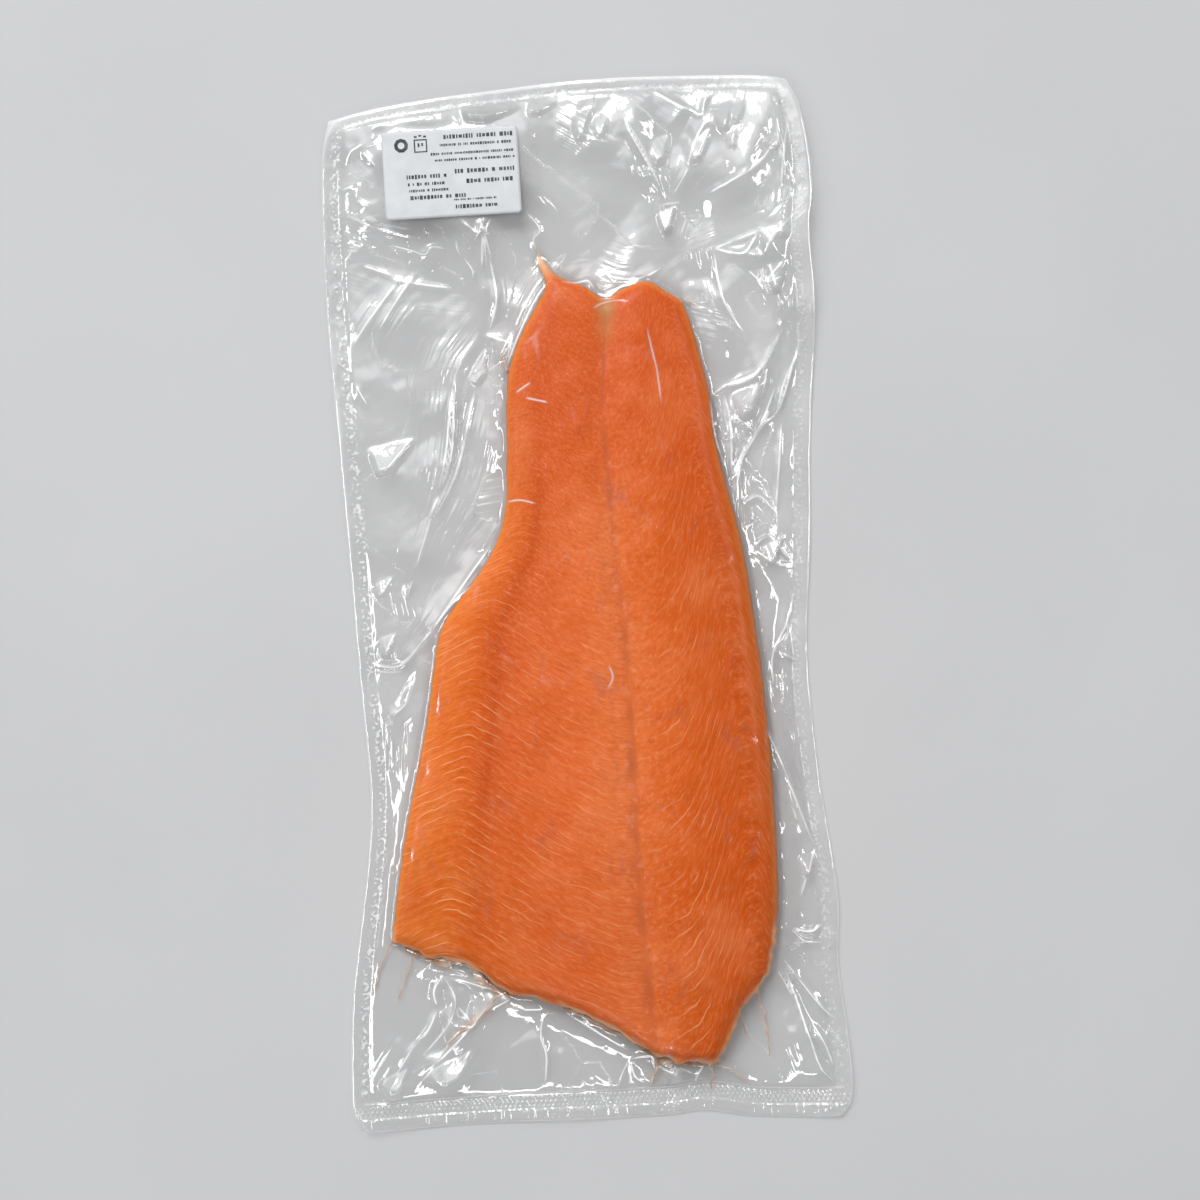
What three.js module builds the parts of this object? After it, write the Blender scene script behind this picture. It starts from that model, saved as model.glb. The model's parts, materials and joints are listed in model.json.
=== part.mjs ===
// Vacuum pack of a frozen trout fillet, lying flat: a clear pouch, the skinless
// fillet seated in it and a paper label on the empty end of the pouch.
//
// Millimetres, +Z up. The pack's length runs along Y with the fillet's narrow tail
// end at +Y, and the origin is the centre of the underside.

import * as THREE from 'three';

// ---------------------------------------------------------------------------
// Driving dimensions
// ---------------------------------------------------------------------------

// Pouch: two films sealed together, 210 wide and 438 long over its wavy edges.
const FILM_FLOOR = 0.8;            // the film layer under the fillet
const SEAL_THICKNESS = 1.0;        // two films pressed together along the edges
const SLACK_THICKNESS = 1.7;       // two films lying loosely on each other
const SIDE_SEAL_WIDTH = 8;
const TENT_REACH = 15;             // how far the film runs from the fillet's wall to the floor
const TENT_FALL = 2.2;             // how steeply it falls near the wall
const SLACK_REACH = 14;            // from the seal to where the two films hang fully loose
const LIFT_CLEAR = 14;             // the back film lies level this far round the fillet
const LIFT_FULL = 40;              // and is free to stand off the surface from here
const POUCH_SAMPLES = 240;         // points along each edge of the outline
const OUTLINE_STEP = 7.5;          // widest spacing of the mesh along the pouch's edge

const POUCH_TOP_EDGE = [
  [-99, 206], [-79, 210], [-34, 215.5], [0, 218.7], [40, 219.3], [78, 218], [93, 216],
];
const POUCH_RIGHT_EDGE = [
  [93, 216], [98, 204], [102, 172], [100, 153], [101.5, 120], [98, 68], [96, 22],
  [93, -22], [95.5, -70], [102, -130], [101, -154], [104, -187], [104.3, -211], [100, -219.3],
];
const POUCH_BOTTOM_EDGE = [[100, -219.3], [64, -218], [42, -214.5], [27, -216], [-40, -216.5], [-99, -218]];
const POUCH_LEFT_EDGE = [
  [-99, -218], [-104, -210], [-105, -200], [-103.5, -165], [-94.5, -104], [-92.5, -79],
  [-95.5, -20], [-99, 60], [-103, 131], [-102, 191], [-99, 206],
];

// Fillet: 344 from the tip of the tail flap to the cut end, 162 across the belly.
const FILLET_GAP = 0.45;           // clearance between the fillet and the pouch round it
const FLOOR_GAP = 0.3;
const WALL_SHARE = 0.55;           // how much of the fillet's edge stands as a wall
const SHOULDER_RADIUS = 9;         // round edge between the wall and the top
const GROOVE_DEPTH = 1.7;          // furrow along the lateral line
const GROOVE_WIDTH = 5;
const FLAP_REACH = 20;             // length of the thin shred at the tail
const FLAP_TIP = 4;                // its thinnest part
const FLAP_THINNING = 0.3;         // how much of the thickness is left there

const TAIL_END_LEFT = [[-14.5, 149.5], [-10, 142.5], [-5, 137], [3, 134], [14, 126.5]];
const TAIL_END_RIGHT = [[14, 126.5], [20, 130.5], [32, 134], [40, 129], [46, 125]];
const LEFT_FLANK = [
  [-14.5, 149.5], [-13, 141], [-10.5, 134], [-21, 115], [-27.5, 98], [-30, 60], [-31.5, 40], [-38, 22],
  [-60, -8], [-64, -26], [-68, -48], [-79, -97], [-86, -139],
];
const RIGHT_FLANK = [
  [46, 125], [49.5, 115], [56, 86], [58, 65], [67, 23], [73, -28], [76, -75], [76, -132],
  [71, -158], [62, -169], [49, -194],
];
const HEAD_END_LEFT = [
  [-86, -139], [-77, -142], [-72, -146.5], [-62, -146], [-57, -150], [-50, -150], [-41, -162.5],
  [-24, -164], [-10, -170], [10, -181], [23, -191],
];
const HEAD_END_RIGHT = [[23, -191], [35, -193.5], [49, -194]];
const LATERAL_LINE = [[14, 126.5], [10.5, 80], [13.5, 30], [17.5, -30], [18, -110], [23, -191]];

// Thickness of the flesh from the tail end (0) to the head end (1) of the fillet.
const LOIN_THICKNESS = [8.5, 12, 14.5, 16.5, 17.5, 17.8, 16.5, 13.5];
const BELLY_EDGE_THICKNESS = [8, 9.5, 10, 8.5, 7.5, 7, 7, 6.5];
const LINE_SHARE = 0.94;           // share of the loin's thickness beside the lateral line
const LOIN_CROWN = 0.06;           // rise of the loin between the line and the back
const LOIN_CROWN_AT = 0.3;
const BACK_FALL = 0.2;             // fall of the loin at the back's edge

const FILLET_ROWS = 66;
const ROW_CROWDING = 0.13;         // how much closer the rows lie towards the two ends
const SIDE_COLUMNS = [0, 0.03, 0.075, 0.14, 0.22, 0.31, 0.41, 0.52, 0.64, 0.76, 0.88, 1];

// Spokes tie a point of the fillet's outline to a point of the pouch's outline; the
// pouch's mesh is strung between them.
const SPOKES = [
  [[-14.5, 149.5], [-62, 212]], [[14, 126.5], [18, 219]], [[46, 125], [72, 218]], [[56, 86], [101, 112]],
  [[67, 23], [96, 24]], [[76, -75], [96, -76]], [[76, -132], [102, -140]], [[49, -194], [66, -218]],
  [[10, -181], [6, -216]], [[-41, -162.5], [-52, -217]], [[-86, -139], [-100, -148]],
  [[-68, -48], [-94, -48]], [[-38, 22], [-97, 22]], [[-27.5, 98], [-101, 104]],
];
const NEAR_RINGS = [0, 2.5, 6, 10.5, 15];
const MIDDLE_RINGS = [0.3, 0.58, 0.82];
const FLAT_BACK_RINGS = 3;         // rings left out of the back, which is level there
const NEAR_SHARE = 0.45;           // most of a string that the near rings may take
const SEAL_SHARE = 0.3;            // most of a string that the seal may take

// Places where the whole edge of the pouch stands off the surface, and places where
// its front film stands off the back one: x, y, height and the reach along x and y.
const LIFTED_EDGES = [
  [98, 208, 5, 38, 34], [104, 152, 8, 26, 42], [26, 222, 3, 34, 20], [-62, 210, 5.2, 44, 34],
  [-101, 62, 3, 13, 40], [-95, -84, 2.4, 11, 34], [96, -20, 3, 11, 46], [103, -128, 2.2, 12, 26],
  [42, -218, 4, 13, 13], [-104, -214, 3, 22, 20], [105, -208, 2.2, 16, 24], [-14, -219, 1.6, 22, 9],
];
const LOOSE_FILM = [
  [20, 190, 3.2, 22, 20], [68, 185, 6, 20, 24], [78, 132, 4.5, 15, 26], [-72, 118, 2.6, 20, 26],
  [-70, 40, 1.8, 14, 30], [-72, -186, 3, 24, 17], [82, -186, 2.6, 14, 18], [10, -206, 1.6, 30, 8],
];

// Creases in the front film: from, to, height and half width.
const CREASES = [
  [[27, 214], [38, 168], 3, 5], [[38, 168], [22, 140], 2.2, 5], [[38, 168], [66, 120], 2.4, 5],
  [[92, 206], [62, 160], 3.2, 5.5], [[62, 160], [60, 100], 2.4, 5], [[98, 140], [64, 64], 2.4, 5],
  [[-20, 120], [-58, 150], 2, 5], [[-32, 66], [-84, 96], 1.8, 5], [[-64, -30], [-92, 4], 1.8, 4.5],
  [[-84, -128], [-100, -186], 1.8, 5], [[-41, -164], [-76, -206], 2, 5], [[10, -182], [2, -208], 1.6, 5],
  [[50, -190], [70, -210], 1.8, 5], [[76, -90], [96, -140], 2, 4.5], [[68, -160], [92, -204], 2, 5],
];

// Label: a paper rectangle laid on the loose film, nearly level.
const LABEL_WIDTH = 56.7;
const LABEL_HEIGHT = 36.6;
const LABEL_THICKNESS = 0.4;
const LABEL_CENTRE = [-47.9, 181.3];
const LABEL_TURN = THREE.MathUtils.degToRad(1.2);
const LABEL_LEVEL = 8.2;           // height of its underside
const LABEL_GAP = 0.4;
const LABEL_REST_MARGIN = 3;       // flat film round the label
const LABEL_REST_SLOPE = 0.3;      // fall of the film away from that flat
const LABEL_REST_RISE = 0.1;       // most that the film may rise away from it

// ---------------------------------------------------------------------------
// Outlines
// ---------------------------------------------------------------------------

function flatCurve(knots) {
  const points = knots.map(([x, y]) => new THREE.Vector3(x, y, 0));
  return new THREE.CatmullRomCurve3(points, false, 'centripetal');
}

const reversed = (list) => [...list].reverse();

// Both outlines run clockwise seen from above.
const pouchOutline = [POUCH_TOP_EDGE, POUCH_RIGHT_EDGE, POUCH_BOTTOM_EDGE, POUCH_LEFT_EDGE].flatMap(
  (knots) => flatCurve(knots).getSpacedPoints(POUCH_SAMPLES).slice(0, -1),
);

function distanceToSegment(x, y, from, to) {
  const spanX = to.x - from.x;
  const spanY = to.y - from.y;
  const along = ((x - from.x) * spanX + (y - from.y) * spanY) / (spanX * spanX + spanY * spanY);
  const t = THREE.MathUtils.clamp(along, 0, 1);
  return Math.hypot(x - from.x - t * spanX, y - from.y - t * spanY);
}

function distanceToOutline(x, y, outline) {
  let nearest = Infinity;
  for (let i = 0; i < outline.length; i += 1) {
    nearest = Math.min(nearest, distanceToSegment(x, y, outline[i], outline[(i + 1) % outline.length]));
  }
  return nearest;
}

const nearestIndex = (outline, [x, y]) => outline.reduce(
  (best, point, i) => (Math.hypot(point.x - x, point.y - y)
    < Math.hypot(outline[best].x - x, outline[best].y - y) ? i : best),
  0,
);

// Half of the fillet as a patch between a flank and the lateral line.
function patchPoint(flank, line, tail, head, u, v) {
  const at = (curve, t) => curve.getPointAt(THREE.MathUtils.clamp(t, 0, 1));
  const point = at(flank, v).multiplyScalar(1 - u).addScaledVector(at(line, v), u);
  point.addScaledVector(at(tail, u), 1 - v).addScaledVector(at(head, u), v);
  point.addScaledVector(at(tail, 0), -(1 - u) * (1 - v)).addScaledVector(at(tail, 1), -u * (1 - v));
  point.addScaledVector(at(head, 0), -(1 - u) * v).addScaledVector(at(head, 1), -u * v);
  return point;
}

// Rows lie closer together towards the two ends, where the edge is round.
function rowPosition(row) {
  const t = row / FILLET_ROWS;
  return t - (ROW_CROWDING * Math.sin(2 * Math.PI * t)) / Math.PI;
}

const lateralLine = flatCurve(LATERAL_LINE);
const lateralPoints = lateralLine.getSpacedPoints(80);

// The fillet's plan: rows from the tail end to the head end, each from the left flank
// to the right one, as points with their place along and across the fillet.
function filletPlanRows() {
  const halves = [
    [LEFT_FLANK, TAIL_END_LEFT, HEAD_END_LEFT],
    [RIGHT_FLANK, reversed(TAIL_END_RIGHT), reversed(HEAD_END_RIGHT)],
  ].map((sides) => sides.map(flatCurve));
  const half = ([flank, tail, head], v, side) => SIDE_COLUMNS.map((u) => ({
    point: patchPoint(flank, lateralLine, tail, head, u, v),
    along: v,
    across: side * (1 - u),
  }));
  return Array.from({ length: FILLET_ROWS + 1 }, (_, row) => {
    const v = rowPosition(row);
    return [...half(halves[0], v, -1), ...reversed(half(halves[1], v, 1)).slice(1)];
  });
}

// The rim of a grid, clockwise from the first point of its first row.
const rimOf = (rows) => [
  ...rows[0],
  ...rows.slice(1).map((row) => row.at(-1)),
  ...reversed(rows.at(-1)).slice(1),
  ...reversed(rows.slice(1, -1).map((row) => row[0])),
];

const filletPlan = filletPlanRows();
const filletRim = rimOf(filletPlan);
const filletOutline = filletRim.map(({ point }) => point);

// ---------------------------------------------------------------------------
// Heights
// ---------------------------------------------------------------------------

function valueAlong(values, t) {
  const place = THREE.MathUtils.clamp(t, 0, 1) * (values.length - 1);
  const index = Math.min(Math.floor(place), values.length - 2);
  return THREE.MathUtils.lerp(values[index], values[index + 1], place - index);
}

// Thickness of the flesh; across runs from -1 at the left flank over 0 at the
// lateral line to 1 at the right flank.
function fleshThickness(along, across) {
  const loin = valueAlong(LOIN_THICKNESS, along);
  if (across > 0) {
    const crown = LOIN_CROWN * Math.sin((Math.PI / 2) * Math.min(across / LOIN_CROWN_AT, 2));
    return loin * (LINE_SHARE + crown - BACK_FALL * across ** 3);
  }
  const belly = valueAlong(BELLY_EDGE_THICKNESS, along);
  return THREE.MathUtils.lerp(loin * LINE_SHARE, belly, THREE.MathUtils.smoothstep(-across, 0.08, 1.05));
}

function flapThinning(x, y) {
  const [tipX, tipY] = TAIL_END_LEFT[0];
  const fromTip = Math.hypot(x - tipX, y - tipY);
  return THREE.MathUtils.lerp(
    FLAP_THINNING,
    1,
    THREE.MathUtils.smoothstep(fromTip, FLAP_TIP, FLAP_REACH),
  );
}

const filletBase = FILM_FLOOR + FLOOR_GAP;

function furrowDistance(x, y) {
  return lateralPoints.slice(1).reduce(
    (nearest, point, i) => Math.min(nearest, distanceToSegment(x, y, lateralPoints[i], point)),
    Infinity,
  );
}

function filletWallTop({ point, along, across }) {
  return filletBase + WALL_SHARE * fleshThickness(along, across) * flapThinning(point.x, point.y);
}

function filletSurfaceHeight(place) {
  const { x, y } = place.point;
  const edge = Math.min(distanceToOutline(x, y, filletOutline) / SHOULDER_RADIUS, 1);
  const furrow = GROOVE_DEPTH * Math.exp(-((furrowDistance(x, y) / GROOVE_WIDTH) ** 2));
  const flesh = fleshThickness(place.along, place.across) * flapThinning(x, y);
  const round = Math.sqrt(1 - (1 - edge) ** 2);
  return THREE.MathUtils.lerp(filletWallTop(place), filletBase + flesh - furrow * edge, round);
}

const bump = (x, y, [cx, cy, height, reachX, reachY]) => (
  height * Math.exp(-(((x - cx) / reachX) ** 2) - ((y - cy) / reachY) ** 2)
);

const sumOfBumps = (x, y, bumps) => bumps.reduce((sum, item) => sum + bump(x, y, item), 0);

function creaseHeight(x, y) {
  let height = 0;
  for (const [from, to, rise, halfWidth] of CREASES) {
    const a = new THREE.Vector3(...from, 0);
    const b = new THREE.Vector3(...to, 0);
    height = Math.max(height, rise * Math.exp(-((distanceToSegment(x, y, a, b) / halfWidth) ** 2)));
  }
  return height;
}

// How far a point lies outside the flat that carries the label.
function distanceFromLabel(x, y) {
  const dx = x - LABEL_CENTRE[0];
  const dy = y - LABEL_CENTRE[1];
  const u = Math.abs(dx * Math.cos(LABEL_TURN) + dy * Math.sin(LABEL_TURN));
  const v = Math.abs(dy * Math.cos(LABEL_TURN) - dx * Math.sin(LABEL_TURN));
  const beyondX = Math.max(u - LABEL_WIDTH / 2 - LABEL_REST_MARGIN, 0);
  const beyondY = Math.max(v - LABEL_HEIGHT / 2 - LABEL_REST_MARGIN, 0);
  return Math.hypot(beyondX, beyondY);
}

function backFilmHeight(x, y, filletDistance) {
  const lift = THREE.MathUtils.smoothstep(filletDistance, LIFT_CLEAR, LIFT_FULL);
  return sumOfBumps(x, y, LIFTED_EDGES) * lift;
}

function frontFilmHeight(x, y, filletDistance, edgeDistance, rimHeight) {
  const slack = THREE.MathUtils.smoothstep(
    edgeDistance,
    SIDE_SEAL_WIDTH,
    SIDE_SEAL_WIDTH + SLACK_REACH,
  );
  const apart = THREE.MathUtils.lerp(
    SEAL_THICKNESS,
    SLACK_THICKNESS + sumOfBumps(x, y, LOOSE_FILM) + creaseHeight(x, y),
    slack,
  );
  const onBack = backFilmHeight(x, y, filletDistance) + apart;
  const beyondLabel = distanceFromLabel(x, y);
  const rest = LABEL_LEVEL - LABEL_GAP;
  const loose = THREE.MathUtils.clamp(
    onBack,
    rest - LABEL_REST_SLOPE * beyondLabel - (rest - onBack) * (1 - slack) * Math.min(beyondLabel / 4, 1),
    rest + LABEL_REST_RISE * beyondLabel,
  );
  const tent = THREE.MathUtils.clamp(1 - filletDistance / TENT_REACH, 0, 1) ** TENT_FALL;
  return THREE.MathUtils.lerp(loose, Math.max(rimHeight, loose), tent);
}

// ---------------------------------------------------------------------------
// Solids
// ---------------------------------------------------------------------------

class SolidBuilder {
  constructor() {
    this.positions = [];
    this.faces = [];
  }

  vertex(x, y, z) {
    this.positions.push(x, y, z);
    return this.positions.length / 3 - 1;
  }

  quad(a, b, c, d) {
    this.faces.push(a, b, c, a, c, d);
  }

  // Joins two rings that run clockwise seen from above; the faces point outwards
  // where the second ring is the upper one.
  band(lower, upper) {
    lower.forEach((start, i) => {
      const next = (i + 1) % lower.length;
      this.quad(start, upper[i], upper[next], lower[next]);
    });
  }

  // Fills a level ring that runs clockwise seen from above.
  cap(ring, facesUp) {
    const contour = ring.map((i) => new THREE.Vector2(this.positions[3 * i], this.positions[3 * i + 1]));
    for (const [a, b, c] of THREE.ShapeUtils.triangulateShape(contour, [])) {
      const turn = contour[b].clone().sub(contour[a]).cross(contour[c].clone().sub(contour[a]));
      const order = (turn > 0) === facesUp ? [a, b, c] : [a, c, b];
      this.faces.push(...order.map((corner) => ring[corner]));
    }
  }

  geometry() {
    const geometry = new THREE.BufferGeometry();
    geometry.setAttribute('position', new THREE.Float32BufferAttribute(this.positions, 3));
    geometry.setIndex(this.faces);
    geometry.computeVertexNormals();
    return geometry;
  }
}

function filletSolid() {
  const solid = new SolidBuilder();
  const top = filletPlan.map((row) => row.map((place) => (
    solid.vertex(place.point.x, place.point.y, filletSurfaceHeight(place))
  )));
  for (let row = 1; row < top.length; row += 1) {
    for (let column = 1; column < top[row].length; column += 1) {
      solid.quad(top[row - 1][column - 1], top[row][column - 1], top[row][column], top[row - 1][column]);
    }
  }
  const sole = filletOutline.map(({ x, y }) => solid.vertex(x, y, filletBase));
  solid.band(sole, rimOf(top));
  solid.cap(sole, false);
  return solid.geometry();
}

// Lengths along a run of points, from 0 at its first point.
function runLengths(points) {
  const lengths = [0];
  for (let i = 1; i < points.length; i += 1) {
    lengths.push(lengths[i - 1] + points[i].distanceTo(points[i - 1]));
  }
  return lengths;
}

function pointAtShare(points, lengths, share) {
  const wanted = share * lengths.at(-1);
  const next = Math.max(lengths.findIndex((length) => length >= wanted), 1);
  const part = (wanted - lengths[next - 1]) / (lengths[next] - lengths[next - 1]);
  return points[next - 1].clone().lerp(points[next], part);
}

// The points of a closed outline from the one nearest to a place to the one nearest
// to another, clockwise.
function stretchOf(outline, from, to) {
  const first = nearestIndex(outline, from);
  const count = (nearestIndex(outline, to) - first + outline.length) % outline.length;
  return Array.from({ length: count + 1 }, (_, i) => outline[(first + i) % outline.length]);
}

// Clearance line round the fillet: each corner of its outline pushed out.
function pushedOutCorners(outline) {
  return outline.map((corner, i) => {
    const before = outline[(i + outline.length - 1) % outline.length];
    const after = outline[(i + 1) % outline.length];
    const entering = new THREE.Vector3().subVectors(corner, before).normalize();
    const leaving = new THREE.Vector3().subVectors(after, corner).normalize();
    const outwards = new THREE.Vector3(-entering.y - leaving.y, entering.x + leaving.x, 0).normalize();
    const slant = Math.max(outwards.dot(new THREE.Vector3(-entering.y, entering.x, 0)), 0.4);
    return outwards.multiplyScalar(FILLET_GAP / slant).add(corner);
  });
}

// Strings from the recess to the pouch's edge, all the way round and clockwise. Every
// corner of the recess has one, with more between where the edge would be coarse.
function spokePairs() {
  const recess = pushedOutCorners(filletOutline);
  const pairs = [];
  SPOKES.forEach(([inner, outer], k) => {
    const [nextInner, nextOuter] = SPOKES[(k + 1) % SPOKES.length];
    const innerRun = stretchOf(recess, inner, nextInner);
    const outerRun = stretchOf(pouchOutline, outer, nextOuter);
    const innerLengths = runLengths(innerRun);
    const outerLengths = runLengths(outerRun);
    for (let i = 1; i < innerRun.length; i += 1) {
      const start = innerLengths[i - 1] / innerLengths.at(-1);
      const span = innerLengths[i] / innerLengths.at(-1) - start;
      const steps = Math.ceil((span * outerLengths.at(-1)) / OUTLINE_STEP);
      for (let step = 0; step < steps; step += 1) {
        pairs.push([
          innerRun[i - 1].clone().lerp(innerRun[i], step / steps),
          pointAtShare(outerRun, outerLengths, start + (span * step) / steps),
        ]);
      }
    }
  });
  return pairs;
}

// Places of the rings along one string, as shares of its length.
function ringShares(length) {
  const squeeze = Math.min(1, (NEAR_SHARE * length) / NEAR_RINGS.at(-1)) / length;
  const near = NEAR_RINGS.map((distance) => distance * squeeze);
  const seal = 1 - Math.min(SIDE_SEAL_WIDTH / length, SEAL_SHARE);
  const middle = MIDDLE_RINGS.map((share) => THREE.MathUtils.lerp(near.at(-1), seal, share));
  return [...near, ...middle, seal, 1];
}

// Height of the fillet's wall at the corner of its outline next to a point.
function rimHeight({ x, y }) {
  return filletWallTop(filletRim[nearestIndex(filletOutline, [x, y])]);
}

function pouchSolid() {
  const solid = new SolidBuilder();
  const front = [];
  const back = [];
  const recess = [];
  for (const [inner, outer] of spokePairs()) {
    const rim = rimHeight(inner);
    const shares = ringShares(inner.distanceTo(outer));
    shares.forEach((share, ring) => {
      const { x, y } = inner.clone().lerp(outer, share);
      const filletDistance = ring === 0 ? 0 : distanceToOutline(x, y, filletOutline);
      const edgeDistance = share === 1 ? 0 : distanceToOutline(x, y, pouchOutline);
      const level = frontFilmHeight(x, y, filletDistance, edgeDistance, rim);
      (front[ring] ??= []).push(solid.vertex(x, y, level));
      if (ring === 0 || ring > FLAT_BACK_RINGS) {
        const backRing = Math.max(ring - FLAT_BACK_RINGS, 0);
        (back[backRing] ??= []).push(solid.vertex(x, y, backFilmHeight(x, y, filletDistance)));
      }
    });
    recess.push(solid.vertex(inner.x, inner.y, FILM_FLOOR));
  }
  solid.band(front[0], recess);
  solid.cap(recess, true);
  front.slice(1).forEach((ring, i) => solid.band(ring, front[i]));
  back.slice(1).forEach((ring, i) => solid.band(back[i], ring));
  solid.band(back.at(-1), front.at(-1));
  solid.cap(back[0], false);
  return solid.geometry();
}

function labelSolid() {
  return new THREE.BoxGeometry(LABEL_WIDTH, LABEL_HEIGHT, LABEL_THICKNESS);
}

// ---------------------------------------------------------------------------
// The pack
// ---------------------------------------------------------------------------

function named(name, geometry, colour, roughness) {
  const material = new THREE.MeshStandardMaterial({ color: colour, roughness, metalness: 0 });
  const mesh = new THREE.Mesh(geometry, material);
  mesh.name = name;
  return mesh;
}

const pack = new THREE.Group();
pack.add(named('pouch', pouchSolid(), 0xd6dadb, 0.2));
pack.add(named('fillet', filletSolid(), 0xdd6a34, 0.4));

const label = named('label', labelSolid(), 0xf1f2f2, 0.6);
label.position.set(...LABEL_CENTRE, LABEL_LEVEL + LABEL_THICKNESS / 2);
label.rotation.z = LABEL_TURN;
pack.add(label);

export default pack;
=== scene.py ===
"""Looks of a vacuum pack of frozen trout fillet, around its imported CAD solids.

Metres, +Z up, in the frame of the CAD. The pouch becomes two clear films, the fillet
becomes cut flesh with its muscle bands, and the label becomes printed paper.
"""

import json
import math
import random
from contextlib import contextmanager

import bpy
import numpy as np
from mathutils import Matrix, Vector, geometry
from mathutils.bvhtree import BVHTree
from mathutils.kdtree import KDTree

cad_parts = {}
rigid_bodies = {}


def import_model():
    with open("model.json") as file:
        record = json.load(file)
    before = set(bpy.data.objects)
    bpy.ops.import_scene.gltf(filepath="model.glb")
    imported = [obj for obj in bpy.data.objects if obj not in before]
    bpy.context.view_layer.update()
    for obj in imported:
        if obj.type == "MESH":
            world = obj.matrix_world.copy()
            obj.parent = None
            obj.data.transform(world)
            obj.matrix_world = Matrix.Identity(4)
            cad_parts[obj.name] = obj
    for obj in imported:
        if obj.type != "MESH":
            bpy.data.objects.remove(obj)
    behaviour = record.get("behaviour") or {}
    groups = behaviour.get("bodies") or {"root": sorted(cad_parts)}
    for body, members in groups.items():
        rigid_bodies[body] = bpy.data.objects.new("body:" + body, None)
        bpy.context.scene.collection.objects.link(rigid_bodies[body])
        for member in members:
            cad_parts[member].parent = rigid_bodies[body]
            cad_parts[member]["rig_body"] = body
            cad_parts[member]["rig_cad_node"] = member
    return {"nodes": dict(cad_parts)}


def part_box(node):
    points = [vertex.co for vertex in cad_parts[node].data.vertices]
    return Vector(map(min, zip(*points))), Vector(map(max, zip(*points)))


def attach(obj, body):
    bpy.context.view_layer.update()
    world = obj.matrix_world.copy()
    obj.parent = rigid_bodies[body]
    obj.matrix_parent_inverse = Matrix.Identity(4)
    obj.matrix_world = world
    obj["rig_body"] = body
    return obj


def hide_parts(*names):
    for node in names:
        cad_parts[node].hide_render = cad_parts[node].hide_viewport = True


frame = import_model()
bpy.ops.object.select_all(action="DESELECT")
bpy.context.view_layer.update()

# ----- Sizes, in millimetres where nothing else is said -----

MM = 0.001

# Edges of the pouch, from its upper left corner clockwise.
POUCH_TOP = [(-99, 206), (-79, 210), (-34, 215.5), (0, 218.7), (40, 219.3), (78, 218), (93, 216)]
POUCH_RIGHT = [
    (93, 216), (98, 204), (102, 172), (100, 153), (101.5, 120), (98, 68), (96, 22),
    (93, -22), (95.5, -70), (102, -130), (101, -154), (104, -187), (104.3, -211), (100, -219.3),
]
POUCH_BOTTOM = [(100, -219.3), (64, -218), (42, -214.5), (27, -216), (-40, -216.5), (-99, -218)]
POUCH_LEFT = [
    (-99, -218), (-104, -210), (-105, -200), (-103.5, -165), (-94.5, -104), (-92.5, -79),
    (-95.5, -20), (-99, 60), (-103, 131), (-102, 191), (-99, 206),
]

# The fillet's lateral line and its two flanks, as x at a given y from head to tail.
LATERAL_Y = [-200, -191, -110, -30, 30, 80, 126.5, 150]
LATERAL_X = [23, 23, 18, 17.5, 13.5, 10.5, 14, 15]
LEFT_Y = [-200, -139, -97, -48, -26, -8, 22, 40, 98, 115, 150]
LEFT_X = [-96, -86, -79, -68, -64, -60, -38, -31.5, -27.5, -21, -14]
RIGHT_Y = [-200, -132, -75, -28, 23, 65, 86, 125, 150]
RIGHT_X = [77, 76, 76, 73, 67, 58, 56, 46, 40]

POUCH_SPAN = (206, 436)     # the pouch's mean width and height
INSIDE = 0.997              # shrinks the outline a little, so that plumb lines from it meet the solid
FILM_STEP = 0.955           # spacing of the front film's mesh
BACK_STEP = 2.4
FILM_LIFT = 0.04            # the back film over the underside of its solid
FILM_REST = 0.16            # the front film over the flesh
FILM_EDGE = 0.25            # the least of the front film over the back one, but for the very edge
SIDE_SEAL, BOTTOM_SEAL, TOP_SEAL = 8.0, 13.5, 6.0
BELLY_PITCH = 4.9           # spacing of the flesh's muscle bands, belly and back
BACK_PITCH = 7.8
MEMBRANE_THICK = 0.22
MEMBRANE_HOLD = 1.6         # how far the membrane reaches back under the flesh
THREAD_STEPS = 30

LABEL_SIZE = (56.7, 36.6)
LABEL_MIDDLE = (-47.9, 181.3)
LABEL_TURN = math.radians(1.2)
LABEL_CORNER = 1.6
LABEL_THICK = 0.16
LABEL_REST = 0.14           # the paper's mean height over the bottom of its solid

WELD = 0.00001              # vertices nearer than this are merged, in metres
ABOVE, BELOW = 0.06, -0.02  # where plumb lines start, in metres
FAR = 1e9


# ----- Helpers -----


def colour(code):
    """An sRGB hex code as the linear colour that Blender works in."""
    parts = [int(code[i : i + 2], 16) / 255 for i in (1, 3, 5)]
    linear = [c / 12.92 if c <= 0.04045 else ((c + 0.055) / 1.055) ** 2.4 for c in parts]
    return (*linear, 1.0)


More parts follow.
